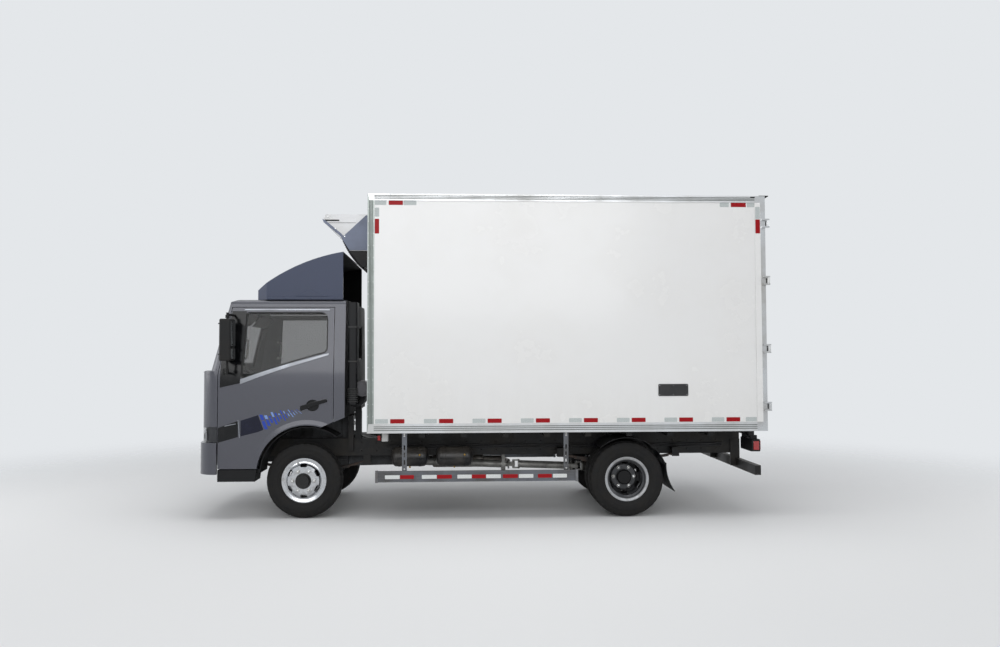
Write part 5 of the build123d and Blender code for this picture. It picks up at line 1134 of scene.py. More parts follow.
def rim_loops(node, outward, share=0.6):
    """Finds the closed runs of edges round the faces of a CAD node that look outward. Each run
    is a list of (place, the face's outward direction there)."""
    form = bmesh.new()
    form.from_mesh(nodes[node].data)
    bmesh.ops.remove_doubles(form, verts=form.verts, dist=1e-5)
    outward = Vector(outward)
    looking = {face for face in form.faces if face.normal.dot(outward) > share}
    rim = {e for e in form.edges if len(e.link_faces) == 2 and sum(f in looking for f in e.link_faces) == 1}
    runs = []
    while rim:
        edge = min(rim, key=lambda e: e.index)
        rim.discard(edge)
        run = [edge.verts[0], edge.verts[1]]
        while run[-1] != run[0]:
            onward = [e for e in run[-1].link_edges if e in rim]
            if not onward:
                break
            rim.discard(onward[0])
            run.append(onward[0].other_vert(run[-1]))
        faces = [[f.normal for f in v.link_faces if f in looking] for v in run[:-1]]
        runs.append([(v.co.copy(), sum(n, Vector()).normalized()) for v, n in zip(run, faces)])
    form.free()
    return sorted(runs, key=len, reverse=True)


def edging(form, run, section):
    """Carries a closed section of (inward, outward) distances round a rim."""
    middle = sum((place for place, _ in run), Vector()) / len(run)
    rings = []
    for at, (place, out) in enumerate(run):
        tangent = (run[(at + 1) % len(run)][0] - run[at - 1][0]).normalized()
        inward = out.cross(tangent).normalized()
        if inward.dot(middle - place) < 0:
            inward = -inward
        rings.append([form.verts.new(place + inward * a + out * b) for a, b in section])
    skin_rings(form, rings + rings[:1], ends=False)


door_seal = ((-0.003, 0.0), (0.013, 0.0), (0.014, 0.003), (0.006, 0.006), (0.004, 0.017), (-0.003, 0.018))
inner_seal = ((-0.003, 0.0), (0.016, 0.0), (0.016, 0.004), (0.004, 0.010), (-0.003, 0.010))
for side, word in ((1, "left"), (-1, "right")):
    seal = bmesh.new()
    edging(seal, rim_loops(f"{word}_door_glass", (0, side, 0))[0], door_seal)
    edging(seal, rim_loops(f"{word}_door_glass", (0, -side, 0))[0], inner_seal)
    make_piece(f"{word}_window_seal", seal, rubber_seal, f"{word}_cab_door")
screen_rim = rim_loops("cab_glass", (1, 0, 0))[0]
seal, band = bmesh.new(), bmesh.new()
edging(seal, screen_rim, ((-0.003, 0.0), (0.022, 0.0), (0.024, 0.004), (0.010, 0.012), (-0.003, 0.018)))
for outward in ((1, 0, 0), (-1, 0, 0)):
    rear_rim = rim_loops("cab_glass", outward)[1]
    edging(seal, rear_rim, ((-0.003, 0.0), (0.018, 0.0), (0.018, 0.005), (0.004, 0.014), (-0.003, 0.014)))
make_piece("screen_seals", seal, rubber_seal, "cab")
edging(band, screen_rim, ((0.0, 0.0004), (0.055, 0.0004), (0.055, 0.0009), (0.0, 0.0009)))
make_piece("screen_enamel", band, enamel, "cab")

# Door trim: a black sail under the mirror, a bright belt moulding that thins rearwards, a
# drip moulding over the window and a gloss black band, all clipped and taped to the skin.
belt_z, roof_z, side_lean = 1.495, 2.277, 0.082
crown_foot, crown_head, crown_curve = 1.380, 1.610, 4.4


def skin_y(z):
    """Gives the y of the cab's side skin at a height: upright, then crowned, then leaning."""
    if z < crown_head:
        return skin_side - max(0.0, z - crown_foot) ** 2 / crown_curve
    return skin_side - side_lean * (z - belt_z) / (roof_z - belt_z)


def on_skin(form, stations, side, proud, under=0.002, rows=6):
    """Adds a thin moulding on the cab's side. Each station is its foot and head as (x, z)."""
    fronts, backs = [], []
    for foot, head in stations:
        line = [(foot[0] + (head[0] - foot[0]) * t / rows, foot[1] + (head[1] - foot[1]) * t / rows)
                for t in range(rows + 1)]
        fronts.append([form.verts.new((x, side * (skin_y(z) + proud), z)) for x, z in line])
        backs.append([form.verts.new((x, side * (skin_y(z) - under), z)) for x, z in line])
    for a in range(len(stations) - 1):
        for b in range(rows):
            form.faces.new([fronts[a][b], fronts[a + 1][b], fronts[a + 1][b + 1], fronts[a][b + 1]])
            form.faces.new([backs[a][b], backs[a][b + 1], backs[a + 1][b + 1], backs[a + 1][b]])
        for b in (0, rows):
            form.faces.new([fronts[a][b], backs[a][b], backs[a + 1][b], fronts[a + 1][b]])
    for a in (0, -1):
        for b in range(rows):
            form.faces.new([fronts[a][b], fronts[a][b + 1], backs[a][b + 1], backs[a][b]])


satin_chrome = surface(
    "satin_chromed_abs", "#8d9096", "#7a7c80", (0.26, 0.4), metallic=0.9, patch=0.3, relief=0.00005
)["material"]
# where the belt and the sail run: x, lower edge, upper edge
belt_line = (
    (2.503, 1.397, 1.449), (2.40, 1.436, 1.486), (2.30, 1.474, 1.521), (2.18, 1.516, 1.559),
    (2.05, 1.560, 1.599), (1.92, 1.599, 1.634), (1.79, 1.638, 1.668), (1.66, 1.678, 1.704),
    (1.600, 1.696, 1.718),
)
sail_line = (
    (2.503, 1.409, 1.455), (2.56, 1.397, 1.512), (2.62, 1.384, 1.572), (2.668, 1.373, 1.619),
    (2.690, 1.368, 1.560), (2.708, 1.364, 1.470),
)
# height, then the x of the window's front edge and of the door's
post_line = (
    (1.446, 2.500, 2.706), (1.53, 2.495, 2.706), (1.618, 2.489, 2.700), (1.75, 2.481, 2.676),
    (1.90, 2.472, 2.649), (2.05, 2.462, 2.622), (2.140, 2.457, 2.605), (2.156, 2.456, 2.602),
)
drip_x = (1.600, 1.75, 1.90, 2.05, 2.20, 2.35, 2.478)


def corner_web(form, corner, first, second, radius, side):
    """Rounds a window corner with a web flush with the skin. first and second are the ways
    that the two edges run from the corner."""
    corner, first, second = Vector(corner), Vector(first).normalized(), Vector(second).normalized()
    half = first.angle(second) / 2
    centre = corner + (first + second).normalized() * radius / math.sin(half)
    start = corner + first * radius / math.tan(half) - centre
    stop = corner + second * radius / math.tan(half) - centre
    lap = 0.004
    outline = [corner - (first + second) * lap, corner + first * (start + centre - corner).length - second * lap]
    outline += [centre + start.lerp(stop, step / 10).normalized() * radius for step in range(11)]
    outline.append(corner + second * (stop + centre - corner).length - first * lap)
    skin_rings(form, [
        [form.verts.new((p.x, side * (skin_y(p.y) + out), p.y)) for p in outline] for out in (0.0007, -0.016)
    ])


for side, word in ((1, "left"), (-1, "right")):
    body = f"{word}_cab_door"
    webs, post = bmesh.new(), bmesh.new()
    corner_web(webs, (1.613, 2.146), (1, 0), (0, -1), 0.080, side)
    corner_web(webs, (1.613, 1.726), (0, 1), (1, -0.325), 0.060, side)
    on_skin(post, [((near, z), (far, z)) for z, near, far in post_line], side, 0.0035)
    make_piece(f"{word}_window_corners", webs, cab_paint, body)
    make_piece(f"{word}_post_cover", post, gloss_black, body, edge=0.0015)
    belt, sail, drip, lamp_band = bmesh.new(), bmesh.new(), bmesh.new(), bmesh.new()
    on_skin(belt, [((x, low), (x, high)) for x, low, high in belt_line], side, 0.006)
    on_skin(sail, [((x, low), (x, high)) for x, low, high in sail_line], side, 0.005)
    on_skin(drip, [((x, 2.163), (x - 0.004, 2.178)) for x in drip_x], side, 0.009, rows=2)
    on_skin(lamp_band, [((2.520, 0.857), (2.521, 1.021)), ((2.62, 0.829), (2.62, 0.987)),
                        ((2.7235, 0.799), (2.7235, 0.951))], side, 0.004)
    make_piece(f"{word}_belt_moulding", belt, satin_chrome, body, edge=0.0025)
    make_piece(f"{word}_sail", sail, gloss_black, body, edge=0.002)
    make_piece(f"{word}_drip_moulding", drip, satin_chrome, body, edge=0.002)
    make_piece(f"{word}_lamp_band", lamp_band, gloss_black, body, edge=0.0015)
    slit, line = bmesh.new(), bmesh.new()
    on_skin(slit, [((2.541, 0.988), (2.541, 0.9945)), ((2.600, 0.9765), (2.600, 0.986)),
                   ((2.655, 0.964), (2.655, 0.9735))], side, 0.0065, rows=1)
    on_skin(line, [((2.4985, 0.848), (2.5165, 1.032)), ((2.5065, 0.846), (2.5245, 1.030))], side, 0.003, rows=3)
    make_piece(f"{word}_band_slit", slit, satin_chrome, body, edge=0.001)
    make_piece(f"{word}_band_line", line, satin_chrome, body, edge=0.0008)

# Side decal: cut vinyl. A dark wedge follows the band, then slanted bars in two blues thin
# out and shorten rearwards until the paint shows through.
navy_vinyl = surface(
    "navy_cut_vinyl", "#03071f", "#0a1030", (0.2, 0.35), patch=0.3, grain=0.0012, relief=0.00003,
    **{"Specular IOR Level": 0.35},
)["material"]
royal_vinyl = surface(
    "royal_blue_cut_vinyl", "#1b3fae", "#2c4aa0", (0.2, 0.35), patch=0.3, grain=0.0012, relief=0.00003
)["material"]
sky_vinyl = surface(
    "sky_blue_cut_vinyl", "#7f9fe0", "#7890c4", (0.2, 0.35), patch=0.3, grain=0.0012, relief=0.00003
)["material"]
decal_top = ((2.50, 1.022), (2.278, 1.092), (2.085, 1.132), (1.85, 1.142))
decal_foot = ((2.50, 0.862), (2.317, 0.907), (2.195, 0.958), (1.992, 1.046), (1.84, 1.108))


def along(line, x):
    """Gives the height of a line of (x, z) points, front to rear, at an x."""
    for (x_a, z_a), (x_b, z_b) in zip(line, line[1:]):
        if x >= x_b:
            return z_a + (z_b - z_a) * (x_a - x) / (x_a - x_b)
    return line[-1][1]


slant = 0.055
for side, word in ((1, "left"), (-1, "right")):
    navy, royal, sky = bmesh.new(), bmesh.new(), bmesh.new()
    wedge = [((x, along(decal_foot, x)), (x, along(decal_top, x))) for x in (2.494, 2.44, 2.38, 2.32)]
    tail = 2.262
    wedge.append(((tail, along(decal_foot, tail)), (tail + slant, along(decal_top, tail + slant))))
    on_skin(navy, wedge, side, 0.0012, rows=3)
    x, width, gap = 2.250, 0.034, 0.008
    for index in range(13):
        foot, head = along(decal_foot, x), along(decal_top, x + slant)
        cut = 0.12 * (index % 3) * (head - foot)
        lower, upper = royal if index < 8 else sky, sky if index % 2 else royal
        for form, share in ((lower, (0.0, 0.56)), (upper, (0.62, 1.0))):
            low = foot + (head - foot) * share[0] + (cut if share[0] == 0 else 0)
            high = foot + (head - foot) * share[1] - (cut if share[1] == 1 else 0)
            if high - low < 0.004:
                continue
            leans = [(slant * (z - foot) / (head - foot), z) for z in (low, high)]
            stations = [[(edge + lean, z) for lean, z in leans] for edge in (x, x - width)]
            on_skin(form, stations, side, 0.0012, rows=1)
        x -= width + gap
        width, gap = width * 0.86, gap * 1.10
    make_piece(f"{word}_decal_wedge", navy, navy_vinyl, f"{word}_cab_door")
    make_piece(f"{word}_decal_bars", royal, royal_vinyl, f"{word}_cab_door")
    make_piece(f"{word}_decal_light_bars", sky, sky_vinyl, f"{word}_cab_door")

# Mirrors: grained black housings that hold a flat glass and a small wide-angle glass below,
# both silvered on the back, in a slim rim.
dress(moulding, "left_mirror", "right_mirror")
silvered = surface(
    "silvered_blue_grey_mirror_glass", "#6d7478", "#62686b", (0.02, 0.06), metallic=1.0, patch=0.1, grain=0.004,
    relief=0.00001,
)["material"]
mirror_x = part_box("left_mirror")[0].x


def rounded_plate(y, z, corner, steps=5):
    """Gives the outline of a rectangle with round corners, as (y, z) points."""
    (low_y, high_y), (low_z, high_z) = sorted(y), sorted(z)
    outline = []
    for centre_y, centre_z, start in (
        (high_y - corner, high_z - corner, 0), (low_y + corner, high_z - corner, 90),
        (low_y + corner, low_z + corner, 180), (high_y - corner, low_z + corner, 270),
    ):
        for step in range(steps + 1):
            angle = math.radians(start + 90 * step / steps)
            outline.append((centre_y + corner * math.cos(angle), centre_z + corner * math.sin(angle)))
    return outline


def front_prism(form, outline, near, far):
    """Adds a closed outline of (y, z) points carried from one x to another to a form."""
    skin_rings(form, [[form.verts.new((x, y, z)) for y, z in outline] for x in (near, far)])


for side, word in ((1, "left"), (-1, "right")):
    rims, glasses, ribs = bmesh.new(), bmesh.new(), bmesh.new()
    for z in ((1.785, 2.050), (1.655, 1.770)):
        outer = rounded_plate((side * 1.040, side * 1.205), z, 0.020)
        inner = rounded_plate((side * 1.046, side * 1.199), (z[0] + 0.006, z[1] - 0.006), 0.016)
        front_prism(rims, outer, mirror_x - 0.002, mirror_x + 0.012)
        front_prism(glasses, inner, mirror_x - 0.0028, mirror_x)
    y = sorted((side * 1.06, side * 1.19))
    for level in (1.70, 2.01):
        solid_box(ribs, (2.655, y[0], level), (2.6655, y[1], level + 0.012))
    for z in (2.090, 1.545):
        round_bar(ribs, (2.592, side * 1.120, z - 0.016), (2.592, side * 1.120, z + 0.016), 0.021, 20)
    on_skin(ribs, [((2.640, 1.497), (2.640, 1.560)), ((2.680, 1.497), (2.680, 1.560))], side, 0.012)
    make_piece(f"{word}_mirror_rims", rims, moulding, f"{word}_cab_door", edge=0.002)
    make_piece(f"{word}_mirror_glass", glasses, silvered, f"{word}_cab_door")
    make_piece(f"{word}_mirror_fixings", ribs, moulding, f"{word}_cab_door", edge=0.002)

# Headlamps: clear moulded lenses over a chromed reflector with two round projectors and a
# light strip along the top, framed in black.
lamp_lens = new_material("clear_polycarbonate_lamp_lens")
lens_haze = add_node(lamp_lens, "TexNoise", {
    "Vector": add_node(lamp_lens, "TexCoord").outputs["Object"], "Scale": 40.0, "Detail": 3.0,
})
lens_gloss = add_node(lamp_lens, "MapRange", {0: lens_haze.outputs[0], 1: 0.4, 2: 0.8, 3: 0.015, 4: 0.07})
lens_shader = add_node(lamp_lens, "BsdfPrincipled", {
    "Base Color": linear("#1a1c1f"), "Roughness": lens_gloss.outputs[0], "IOR": 1.58, "Alpha": 0.35,
    "Coat Weight": 0.5,
})
add_node(lamp_lens, "OutputMaterial", {"Surface": lens_shader.outputs[0]})
dress(lamp_lens, "headlamps")
reflector = surface(
    "vacuum_chromed_reflector", "#c9ccd0", "#a5a7a9", (0.06, 0.16), metallic=1.0, patch=0.05, grain=0.003,
    relief=0.00005,
)
flute_scale = 26.0  # a flute every 12 mm
flutes = add_node(
    reflector["material"], "TexWave", {"Vector": reflector["spot"], "Scale": flute_scale}, bands_direction="Y"
)
fluted = add_node(reflector["material"], "Bump", {
    "Height": flutes.outputs[1], "Strength": 0.7, "Distance": 0.003, "Normal": reflector["skin"].outputs[0],
})
relink(reflector, "Normal", fluted.outputs[0])
light_strip = surface(
    "frosted_white_light_guide", "#e9edf2", "#d9dde2", (0.3, 0.4), patch=0.05, relief=0.0001
)["material"]


def nose_x(y):
    """Gives the x of the cab's bowed front below the screen at a y."""
    if abs(y) <= 0.780:
        return 2.967 - 0.052 * (y / 0.780) ** 2
    return 2.730 + math.sqrt(max(0.0, 0.1853 ** 2 - (abs(y) - 0.7697) ** 2))


bowls, projectors, strips, frames = bmesh.new(), bmesh.new(), bmesh.new(), bmesh.new()
for side in (-1, 1):
    path = [0.600 + 0.024 * step for step in range(13)]
    for depth, low, high, form in ((0.016, 0.815, 0.890, bowls), (0.010, 0.900, 0.909, strips)):
        rows = []
        for y in path:
            rise = 0.028 * (y - 0.600) / 0.288
            rows.append([
                form.verts.new((nose_x(y) - depth - back, side * y, z)) for z, back in
                ((low, 0.0), (low, 0.003), (high + rise, 0.003), (high + rise, 0.0))
            ])
        skin_rings(form, rows)
    for y in (0.660, 0.765):
        x = nose_x(y)
        round_bar(frames, (x - 0.018, side * y, 0.853), (x - 0.009, side * y, 0.853), 0.038, 32, 0.034)
        round_bar(projectors, (x - 0.010, side * y, 0.853), (x - 0.006, side * y, 0.853), 0.030, 32, 0.024)
make_piece("lamp_reflectors", bowls, reflector["material"], "cab", edge=0.0008)
make_piece("lamp_strips", strips, light_strip, "cab", edge=0.001)
make_piece("lamp_bezels", frames, gloss_black, "cab", edge=0.001)
make_piece("lamp_projectors", projectors, silvered, "cab", edge=0.003)

# Front panel: black expanded mesh behind the three slots, a black band that carries the lamps
# across the corner, a louvred cowl and two wipers that park low on the screen.
mesh_black = surface("black_expanded_mesh", "#0c0d0e", "#232120", (0.5, 0.7), patch=0.2)
mesh_cells = 90.0  # to a metre, so each is 11 mm across
holes = add_node(mesh_black["material"], "TexVoronoi", {
    "Vector": mesh_black["spot"], "Scale": mesh_cells, "Randomness": 0.0,
}, feature="DISTANCE_TO_EDGE")
holed = add_node(mesh_black["material"], "Bump", {
    "Height": holes.outputs["Distance"], "Strength": 1.0, "Distance": 0.006,
    "Normal": mesh_black["skin"].outputs[0],
})
relink(mesh_black, "Normal", holed.outputs[0])
mesh_black = mesh_black["material"]


def across(form, half, low, high, out, back=0.004, steps=24, reach=nose_x):
    """Adds a strip that follows the bowed front between two heights, proud of it by out."""
    rows = []
    for step in range(steps + 1):
        y = -half + 2 * half * step / steps
        x = reach(y) + out
        rows.append([
            form.verts.new(p) for p in ((x, y, low), (x, y, high), (x - back, y, high), (x - back, y, low))
        ])
    skin_rings(form, rows)


mesh_form, bars = bmesh.new(), bmesh.new()
for level in (1.000, 1.060, 1.120):
    across(mesh_form, 0.516, level + 0.002, level + 0.034, -0.0075, 0.002)
    across(bars, 0.520, level + 0.0155, level + 0.0205, -0.0015, 0.005)
    for step in range(27):
        y = -0.507 + step * 0.039
        x = nose_x(y)
        solid_box(bars, (x - 0.0085, y - 0.0015, level + 0.001), (x - 0.0025, y + 0.0015, level + 0.035))
make_piece("grille_mesh", mesh_form, mesh_black, "cab")
make_piece("grille_bars", bars, gloss_black, "cab", edge=0.0006)

brow = bmesh.new()
across(brow, 0.530, 0.812, 0.972, 0.003, 0.006)
across(brow, 0.560, 1.170, 1.182, 0.004, 0.008)
make_piece("front_band", brow, gloss_black, "cab", edge=0.002)
bright = bmesh.new()
across(bright, 0.526, 0.962, 0.968, 0.006, 0.004)
make_piece("front_band_line", bright, satin_chrome, "cab", edge=0.001)

cowl = bmesh.new()
for step in range(6):
    x = 2.952 - step * 0.0125
    half = 0.78 * math.sqrt(max(0.0, (2.967 - x) / 0.052)) - 0.03 if x > 2.915 else 0.80
    z = 1.495 + (2.967 - x) * 0.4706
    if half > 0.1:
        solid_box(cowl, (x - 0.0045, -half, z - 0.001), (x + 0.0045, half, z + 0.005))
make_piece("cowl_louvres", cowl, moulding, "cab", edge=0.0015)


def screen_x(y, z):
    """Gives the x of the windscreen's outside at a place."""
    return 2.862 - (z - 1.535) * 0.2722 - 0.066 * (y / 0.810) ** 2


arms, blades = [], []
for pivot_y, tip_y in ((-0.62, -0.05), (0.04, 0.62)):
    reach_y = (pivot_y + tip_y) / 2 + 0.05
    arms.append([
        (2.905, pivot_y, 1.522), (2.905, pivot_y, 1.545),
        (screen_x(pivot_y, 1.575) + 0.030, pivot_y + 0.06, 1.575),
        (screen_x(reach_y, 1.588) + 0.020, reach_y, 1.592),
    ])
    blade_y = [pivot_y - 0.06 + (tip_y - pivot_y + 0.10) * t / 12 for t in range(13)]
    blades.append([(screen_x(y, 1.590) + 0.009, y, 1.590) for y in blade_y])
tube("wiper_arms", arms, 0.006, plate_paint, "cab")
tube("wiper_blades", blades, 0.0055, rubber_seal, "cab")

# Bumper: painted steel with a black mesh behind the middle opening, round fog lamps in black
# rings, a moulded lip below and a blank plate on two brackets.
fog_y, fog_z = 0.66, 0.600


def bumper_x(y):
    """Gives the x of the bumper's bowed face at a y."""
    return nose_x(y) + 0.020


fog, rings, lip, guard_mesh = bmesh.new(), bmesh.new(), bmesh.new(), bmesh.new()
for side in (-1, 1):
    x, y = bumper_x(fog_y), side * fog_y
    for radius, out in ((0.062, 0.004), (0.054, 0.007)):
        round_bar(rings, (x - 0.006, y, fog_z), (x + out, y, fog_z), radius, 40, radius * 0.96)
    round_bar(fog, (x, y, fog_z), (x + 0.010, y, fog_z), 0.043, 40, 0.036)
across(lip, 0.76, 0.478, 0.502, 0.003, 0.010, reach=bumper_x)
across(guard_mesh, 0.412, 0.594, 0.716, -0.026, 0.003, reach=bumper_x)
for level in (0.622, 0.654, 0.686):
    across(lip, 0.418, level, level + 0.008, -0.010, 0.014, reach=bumper_x)
make_piece("fog_lamp_rings", rings, gloss_black, "cab", edge=0.002)
make_piece("fog_lamps", fog, reflector["material"], "cab", edge=0.002)
make_piece("bumper_lip", lip, moulding, "cab", edge=0.0015)
make_piece("bumper_mesh", guard_mesh, mesh_black, "cab")
holder, blank = bmesh.new(), bmesh.new()
plate_root, plate_face = bumper_x(0.2) - 0.002, bumper_x(0)
for form, half, z, root, face in (
    (holder, 0.228, (0.512, 0.662), plate_root, plate_face + 0.003),
    (blank, 0.220, (0.518, 0.656), plate_face + 0.002, plate_face + 0.0045),
):
    front_prism(form, rounded_plate((-half, half), z, 0.008), root, face)
make_piece("front_plate_holder", holder, moulding, "cab", edge=0.0015)
make_piece("front_plate", blank, plate_white, "cab", edge=0.0008)

# Roof fairing: moulded glass fibre in the cab's paint, darkened and tinted blue-grey as a painted
# reflection of the sky, with a flange along its foot and a shallow moulded facet above it, bolted to the roof.
foot_z, fairing_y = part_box("roof_fairing")[0].z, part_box("roof_fairing")[1].y
flange = bmesh.new()
for side in (-1, 1):
    skin = side * (fairing_y - 0.003)
    strip_low, strip_high, bolt_z = foot_z + 0.003, foot_z + 0.034, foot_z + 0.018
    side_prism(flange, ((1.472, strip_low), (2.255, strip_low), (2.250, strip_high), (1.476, strip_high)),
               skin, side * (fairing_y + 0.007))
    facet = ((1.604, foot_z + 0.036), (1.968, foot_z + 0.036), (1.813, foot_z + 0.113), (1.729, foot_z + 0.072))
    side_prism(flange, facet, skin, side * (fairing_y + 0.004))
    for x in (1.55, 1.80, 2.05, 2.22):
        round_bar(flange, (x, side * fairing_y, bolt_z), (x, side * (fairing_y + 0.010), bolt_z), 0.008, 12)
make_piece("fairing_flange", flange, fairing_paint_with_painted_sky_tint, "cab", edge=0.003)

# Behind the cab: the intake duct's rubber bellows and clips, and the air cleaner, a pressed
# steel drum with a ribbed cap, in dark enamel.
drum_enamel = surface(
    "grey_enamel_on_pressed_steel", "#3c3b3f", "#454140", (0.35, 0.55), patch=0.15, grain=0.003
)["material"]
bellows = bmesh.new()
for step in range(7):
    z = 1.205 + step * 0.022
    solid_box(bellows, (1.306, 0.696, z), (1.413, 0.905, z + 0.011))
for z in (1.62, 1.98):
    solid_box(bellows, (1.308, 0.694, z), (1.4105, 0.906, z + 0.018))
make_piece("intake_bellows", bellows, rubber_seal, "chassis", edge=0.004)
cleaner = bmesh.new()
drum_x, drum_z = 1.262, 1.345
for start, end, radius in (
    (0.60, 0.84, 0.078), (0.84, 0.862, 0.084), (0.862, 0.874, 0.060), (0.57, 0.60, 0.070),
):
    round_bar(cleaner, (drum_x, start, drum_z), (drum_x, end, drum_z), radius, 36, radius * 0.985)
for step in range(12):
    angle = math.radians(30 * step)
    x, z = drum_x + 0.079 * math.cos(angle), drum_z + 0.079 * math.sin(angle)
    solid_box(cleaner, (x - 0.004, 0.66, z - 0.004), (x + 0.004, 0.835, z + 0.004))
make_piece("air_cleaner", cleaner, drum_enamel, "chassis", edge=0.002)

# Cab inside: moulded grey trims, a dark ribbed rubber mat, a felt roof lining, and a padded
# dashboard with a hooded cluster, a screen, vents and switches.
dress(trim, "cab_floor", "dashboard")
mat_rubber = surface(
    "ribbed_floor_mat_rubber", "#191a1b", "#3a3630", (0.6, 0.85), patch=0.2, grain=0.003, relief=0.0004
)["material"]
mat = bmesh.new()
for low_y, high_y in ((-0.86, -0.04), (0.10, 0.86)):
    solid_box(mat, (2.262, low_y, 0.842), (2.74, high_y, 0.850))
    for step in range(16):
        solid_box(mat, (2.28 + step * 0.028, low_y + 0.03, 0.849), (2.290 + step * 0.028, high_y - 0.03, 0.853))
make_piece("floor_mats", mat, mat_rubber, "cab", edge=0.0012)


def dash_x(z):
    """Gives the x of the dashboard's face at a height."""
    if z < 1.380:
        return 2.552 + 0.11 * (1.380 - z) / 0.180
    return 2.552 + 0.050 * min(1.0, (z - 1.380) / 0.090)


dash_parts, dash_gloss, dash_lit = bmesh.new(), bmesh.new(), bmesh.new()
arch = [(math.cos(math.radians(7.5 * step)), math.sin(math.radians(7.5 * step))) for step in range(25)]
hood_y, hood_z = 0.500, 1.452
hood = [(hood_y + 0.172 * c, hood_z + 0.108 * s) for c, s in arch]
hood += [(hood_y + 0.156 * c, hood_z + 0.094 * s) for c, s in reversed(arch)]
front_prism(dash_parts, hood, 2.578, 2.705)
solid_box(dash_gloss, (2.648, 0.365, 1.425), (2.690, 0.635, 1.535))
for y in (0.435, 0.565):
    round_bar(dash_lit, (2.649, y, 1.478), (2.645, y, 1.478), 0.043, 36, 0.041)
    round_bar(dash_gloss, (2.645, y, 1.478), (2.643, y, 1.478), 0.039, 36, 0.038)
    solid_box(dash_lit, (2.6405, y - 0.002, 1.474), (2.6425, y + 0.030, 1.479))
for low_y, high_y, low_z, high_z, form in (
    (-0.165, 0.095, 1.385, 1.465, dash_gloss), (-0.165, 0.095, 1.285, 1.345, dash_parts),
    (-0.800, -0.300, 1.230, 1.345, dash_parts), (-0.820, -0.660, 1.395, 1.450, dash_parts),
    (0.700, 0.830, 1.395, 1.450, dash_parts), (-0.300, -0.190, 1.395, 1.450, dash_parts),
):
    x = min(dash_x(low_z), dash_x(high_z))
    solid_box(form, (x - 0.008, low_y, low_z), (x + 0.060, high_y, high_z))
for low_y, high_y in ((-0.815, -0.665), (0.705, 0.825), (-0.295, -0.195)):
    for step in range(5):
        z = 1.400 + step * 0.010
        solid_box(dash_gloss, (dash_x(z) - 0.0115, low_y, z), (dash_x(z) - 0.006, high_y, z + 0.004))
for y in (-0.120, -0.035, 0.050):
    round_bar(dash_gloss, (2.575, y, 1.315), (2.548, y, 1.315), 0.020, 28, 0.018)
make_piece("dashboard_mouldings", dash_parts, trim, "cab", edge=0.005)
make_piece("dashboard_gloss", dash_gloss, gloss_black, "cab", edge=0.002)
make_piece("dashboard_dials", dash_lit, light_strip, "cab", edge=0.0005)

# Steering wheel: a steel core foamed over in black grained polyurethane, with a padded boss,
# stalks behind it and a shrouded column.


def eased(points, corner, steps=5):
    """Rounds the corners of a run of points, each over a distance before and after it."""
    points = [Vector(p) for p in points]
    run = [points[0]]
    for before, here, after in zip(points, points[1:], points[2:]):
        start = here + (before - here).normalized() * min(corner, (before - here).length / 2.1)
        end = here + (after - here).normalized() * min(corner, (after - here).length / 2.1)
        for step in range(steps + 1):
            t = step / steps
            run.append(start * (1 - t) ** 2 + here * 2 * t * (1 - t) + end * t ** 2)
    return run + [points[-1]]


wheel_skin = surface(
    "grained_black_polyurethane_foam", "#151617", "#2a2826", (0.42, 0.6), patch=0.1, grain=0.0012,
    **{"Specular IOR Level": 0.35},
)["material"]
dress(wheel_skin, "steering_wheel")
wheel_centre, lean = Vector((2.422, 0.500, 1.470)), math.radians(32)
axis = Vector((-math.sin(lean), 0, math.cos(lean)))
rise = Vector((math.cos(lean), 0, math.sin(lean)))
boss, stalks = bmesh.new(), []
for out, radius, tip in ((0.008, 0.074, 0.070), (0.020, 0.066, 0.050)):
    round_bar(boss, wheel_centre + axis * (out - 0.006), wheel_centre + axis * (out + 0.008), radius, 40, tip)
for turn in (-1, 1):
    for shift in (-0.012, 0.012):
        root = wheel_centre + axis * 0.006 + Vector((0, turn * 0.070, 0)) + rise * shift
        round_bar(boss, root, root + Vector((0, turn * 0.110, 0)) - rise * shift * 0.4, 0.011, 14, 0.009)
    start = wheel_centre - axis * 0.055
    bend, end = start + Vector((0, turn * 0.10, 0)), start + Vector((0, turn * 0.20, 0)) + rise * 0.04
    stalks.append(eased([start, bend, end], 0.03))
for down, radius in ((0.03, 0.052), (0.10, 0.046), (0.20, 0.040)):
    round_bar(boss, wheel_centre - axis * down, wheel_centre - axis * (down + 0.10), radius, 28, radius * 0.9)
make_piece("steering_boss", boss, wheel_skin, "cab", edge=0.004)
tube("column_stalks", stalks, 0.008, gloss_black, "cab")

# Controls and handles: pedals on the floor, a gear lever with a rubber gaiter, ivory grab
# handles screwed to the doors, and sun visors under the roof lining.
pedals, gaiter = bmesh.new(), bmesh.new()
for y, width in ((0.300, 0.055), (0.430, 0.070), (0.560, 0.050)):
    low_y, high_y = y - width / 2, y + width / 2
    solid_box(pedals, (2.640, low_y, 0.930), (2.652, high_y, 1.010))
    round_bar(pedals, (2.650, y, 0.990), (2.700, y, 1.180), 0.008)
    for step in range(4):
        z = 0.940 + step * 0.018
        solid_box(pedals, (2.636, low_y + 0.006, z), (2.642, high_y - 0.006, z + 0.007))
make_piece("pedals", pedals, rubber_seal, "cab", edge=0.002)
lever_x, lever_y = 2.36, 0.20
for step in range(6):
    fold_z, radius = 0.842 + step * 0.022, 0.060 - step * 0.007
    round_bar(gaiter, (lever_x, lever_y, fold_z), (lever_x, lever_y, fold_z + 0.022), radius, 28, radius - 0.008)
round_bar(gaiter, (lever_x, lever_y, 0.96), (2.345, 0.205, 1.22), 0.008)
round_bar(gaiter, (2.345, 0.205, 1.215), (2.344, 0.206, 1.265), 0.020, 24, 0.026)
make_piece("gear_lever", gaiter, rubber_seal, "cab", edge=0.003)
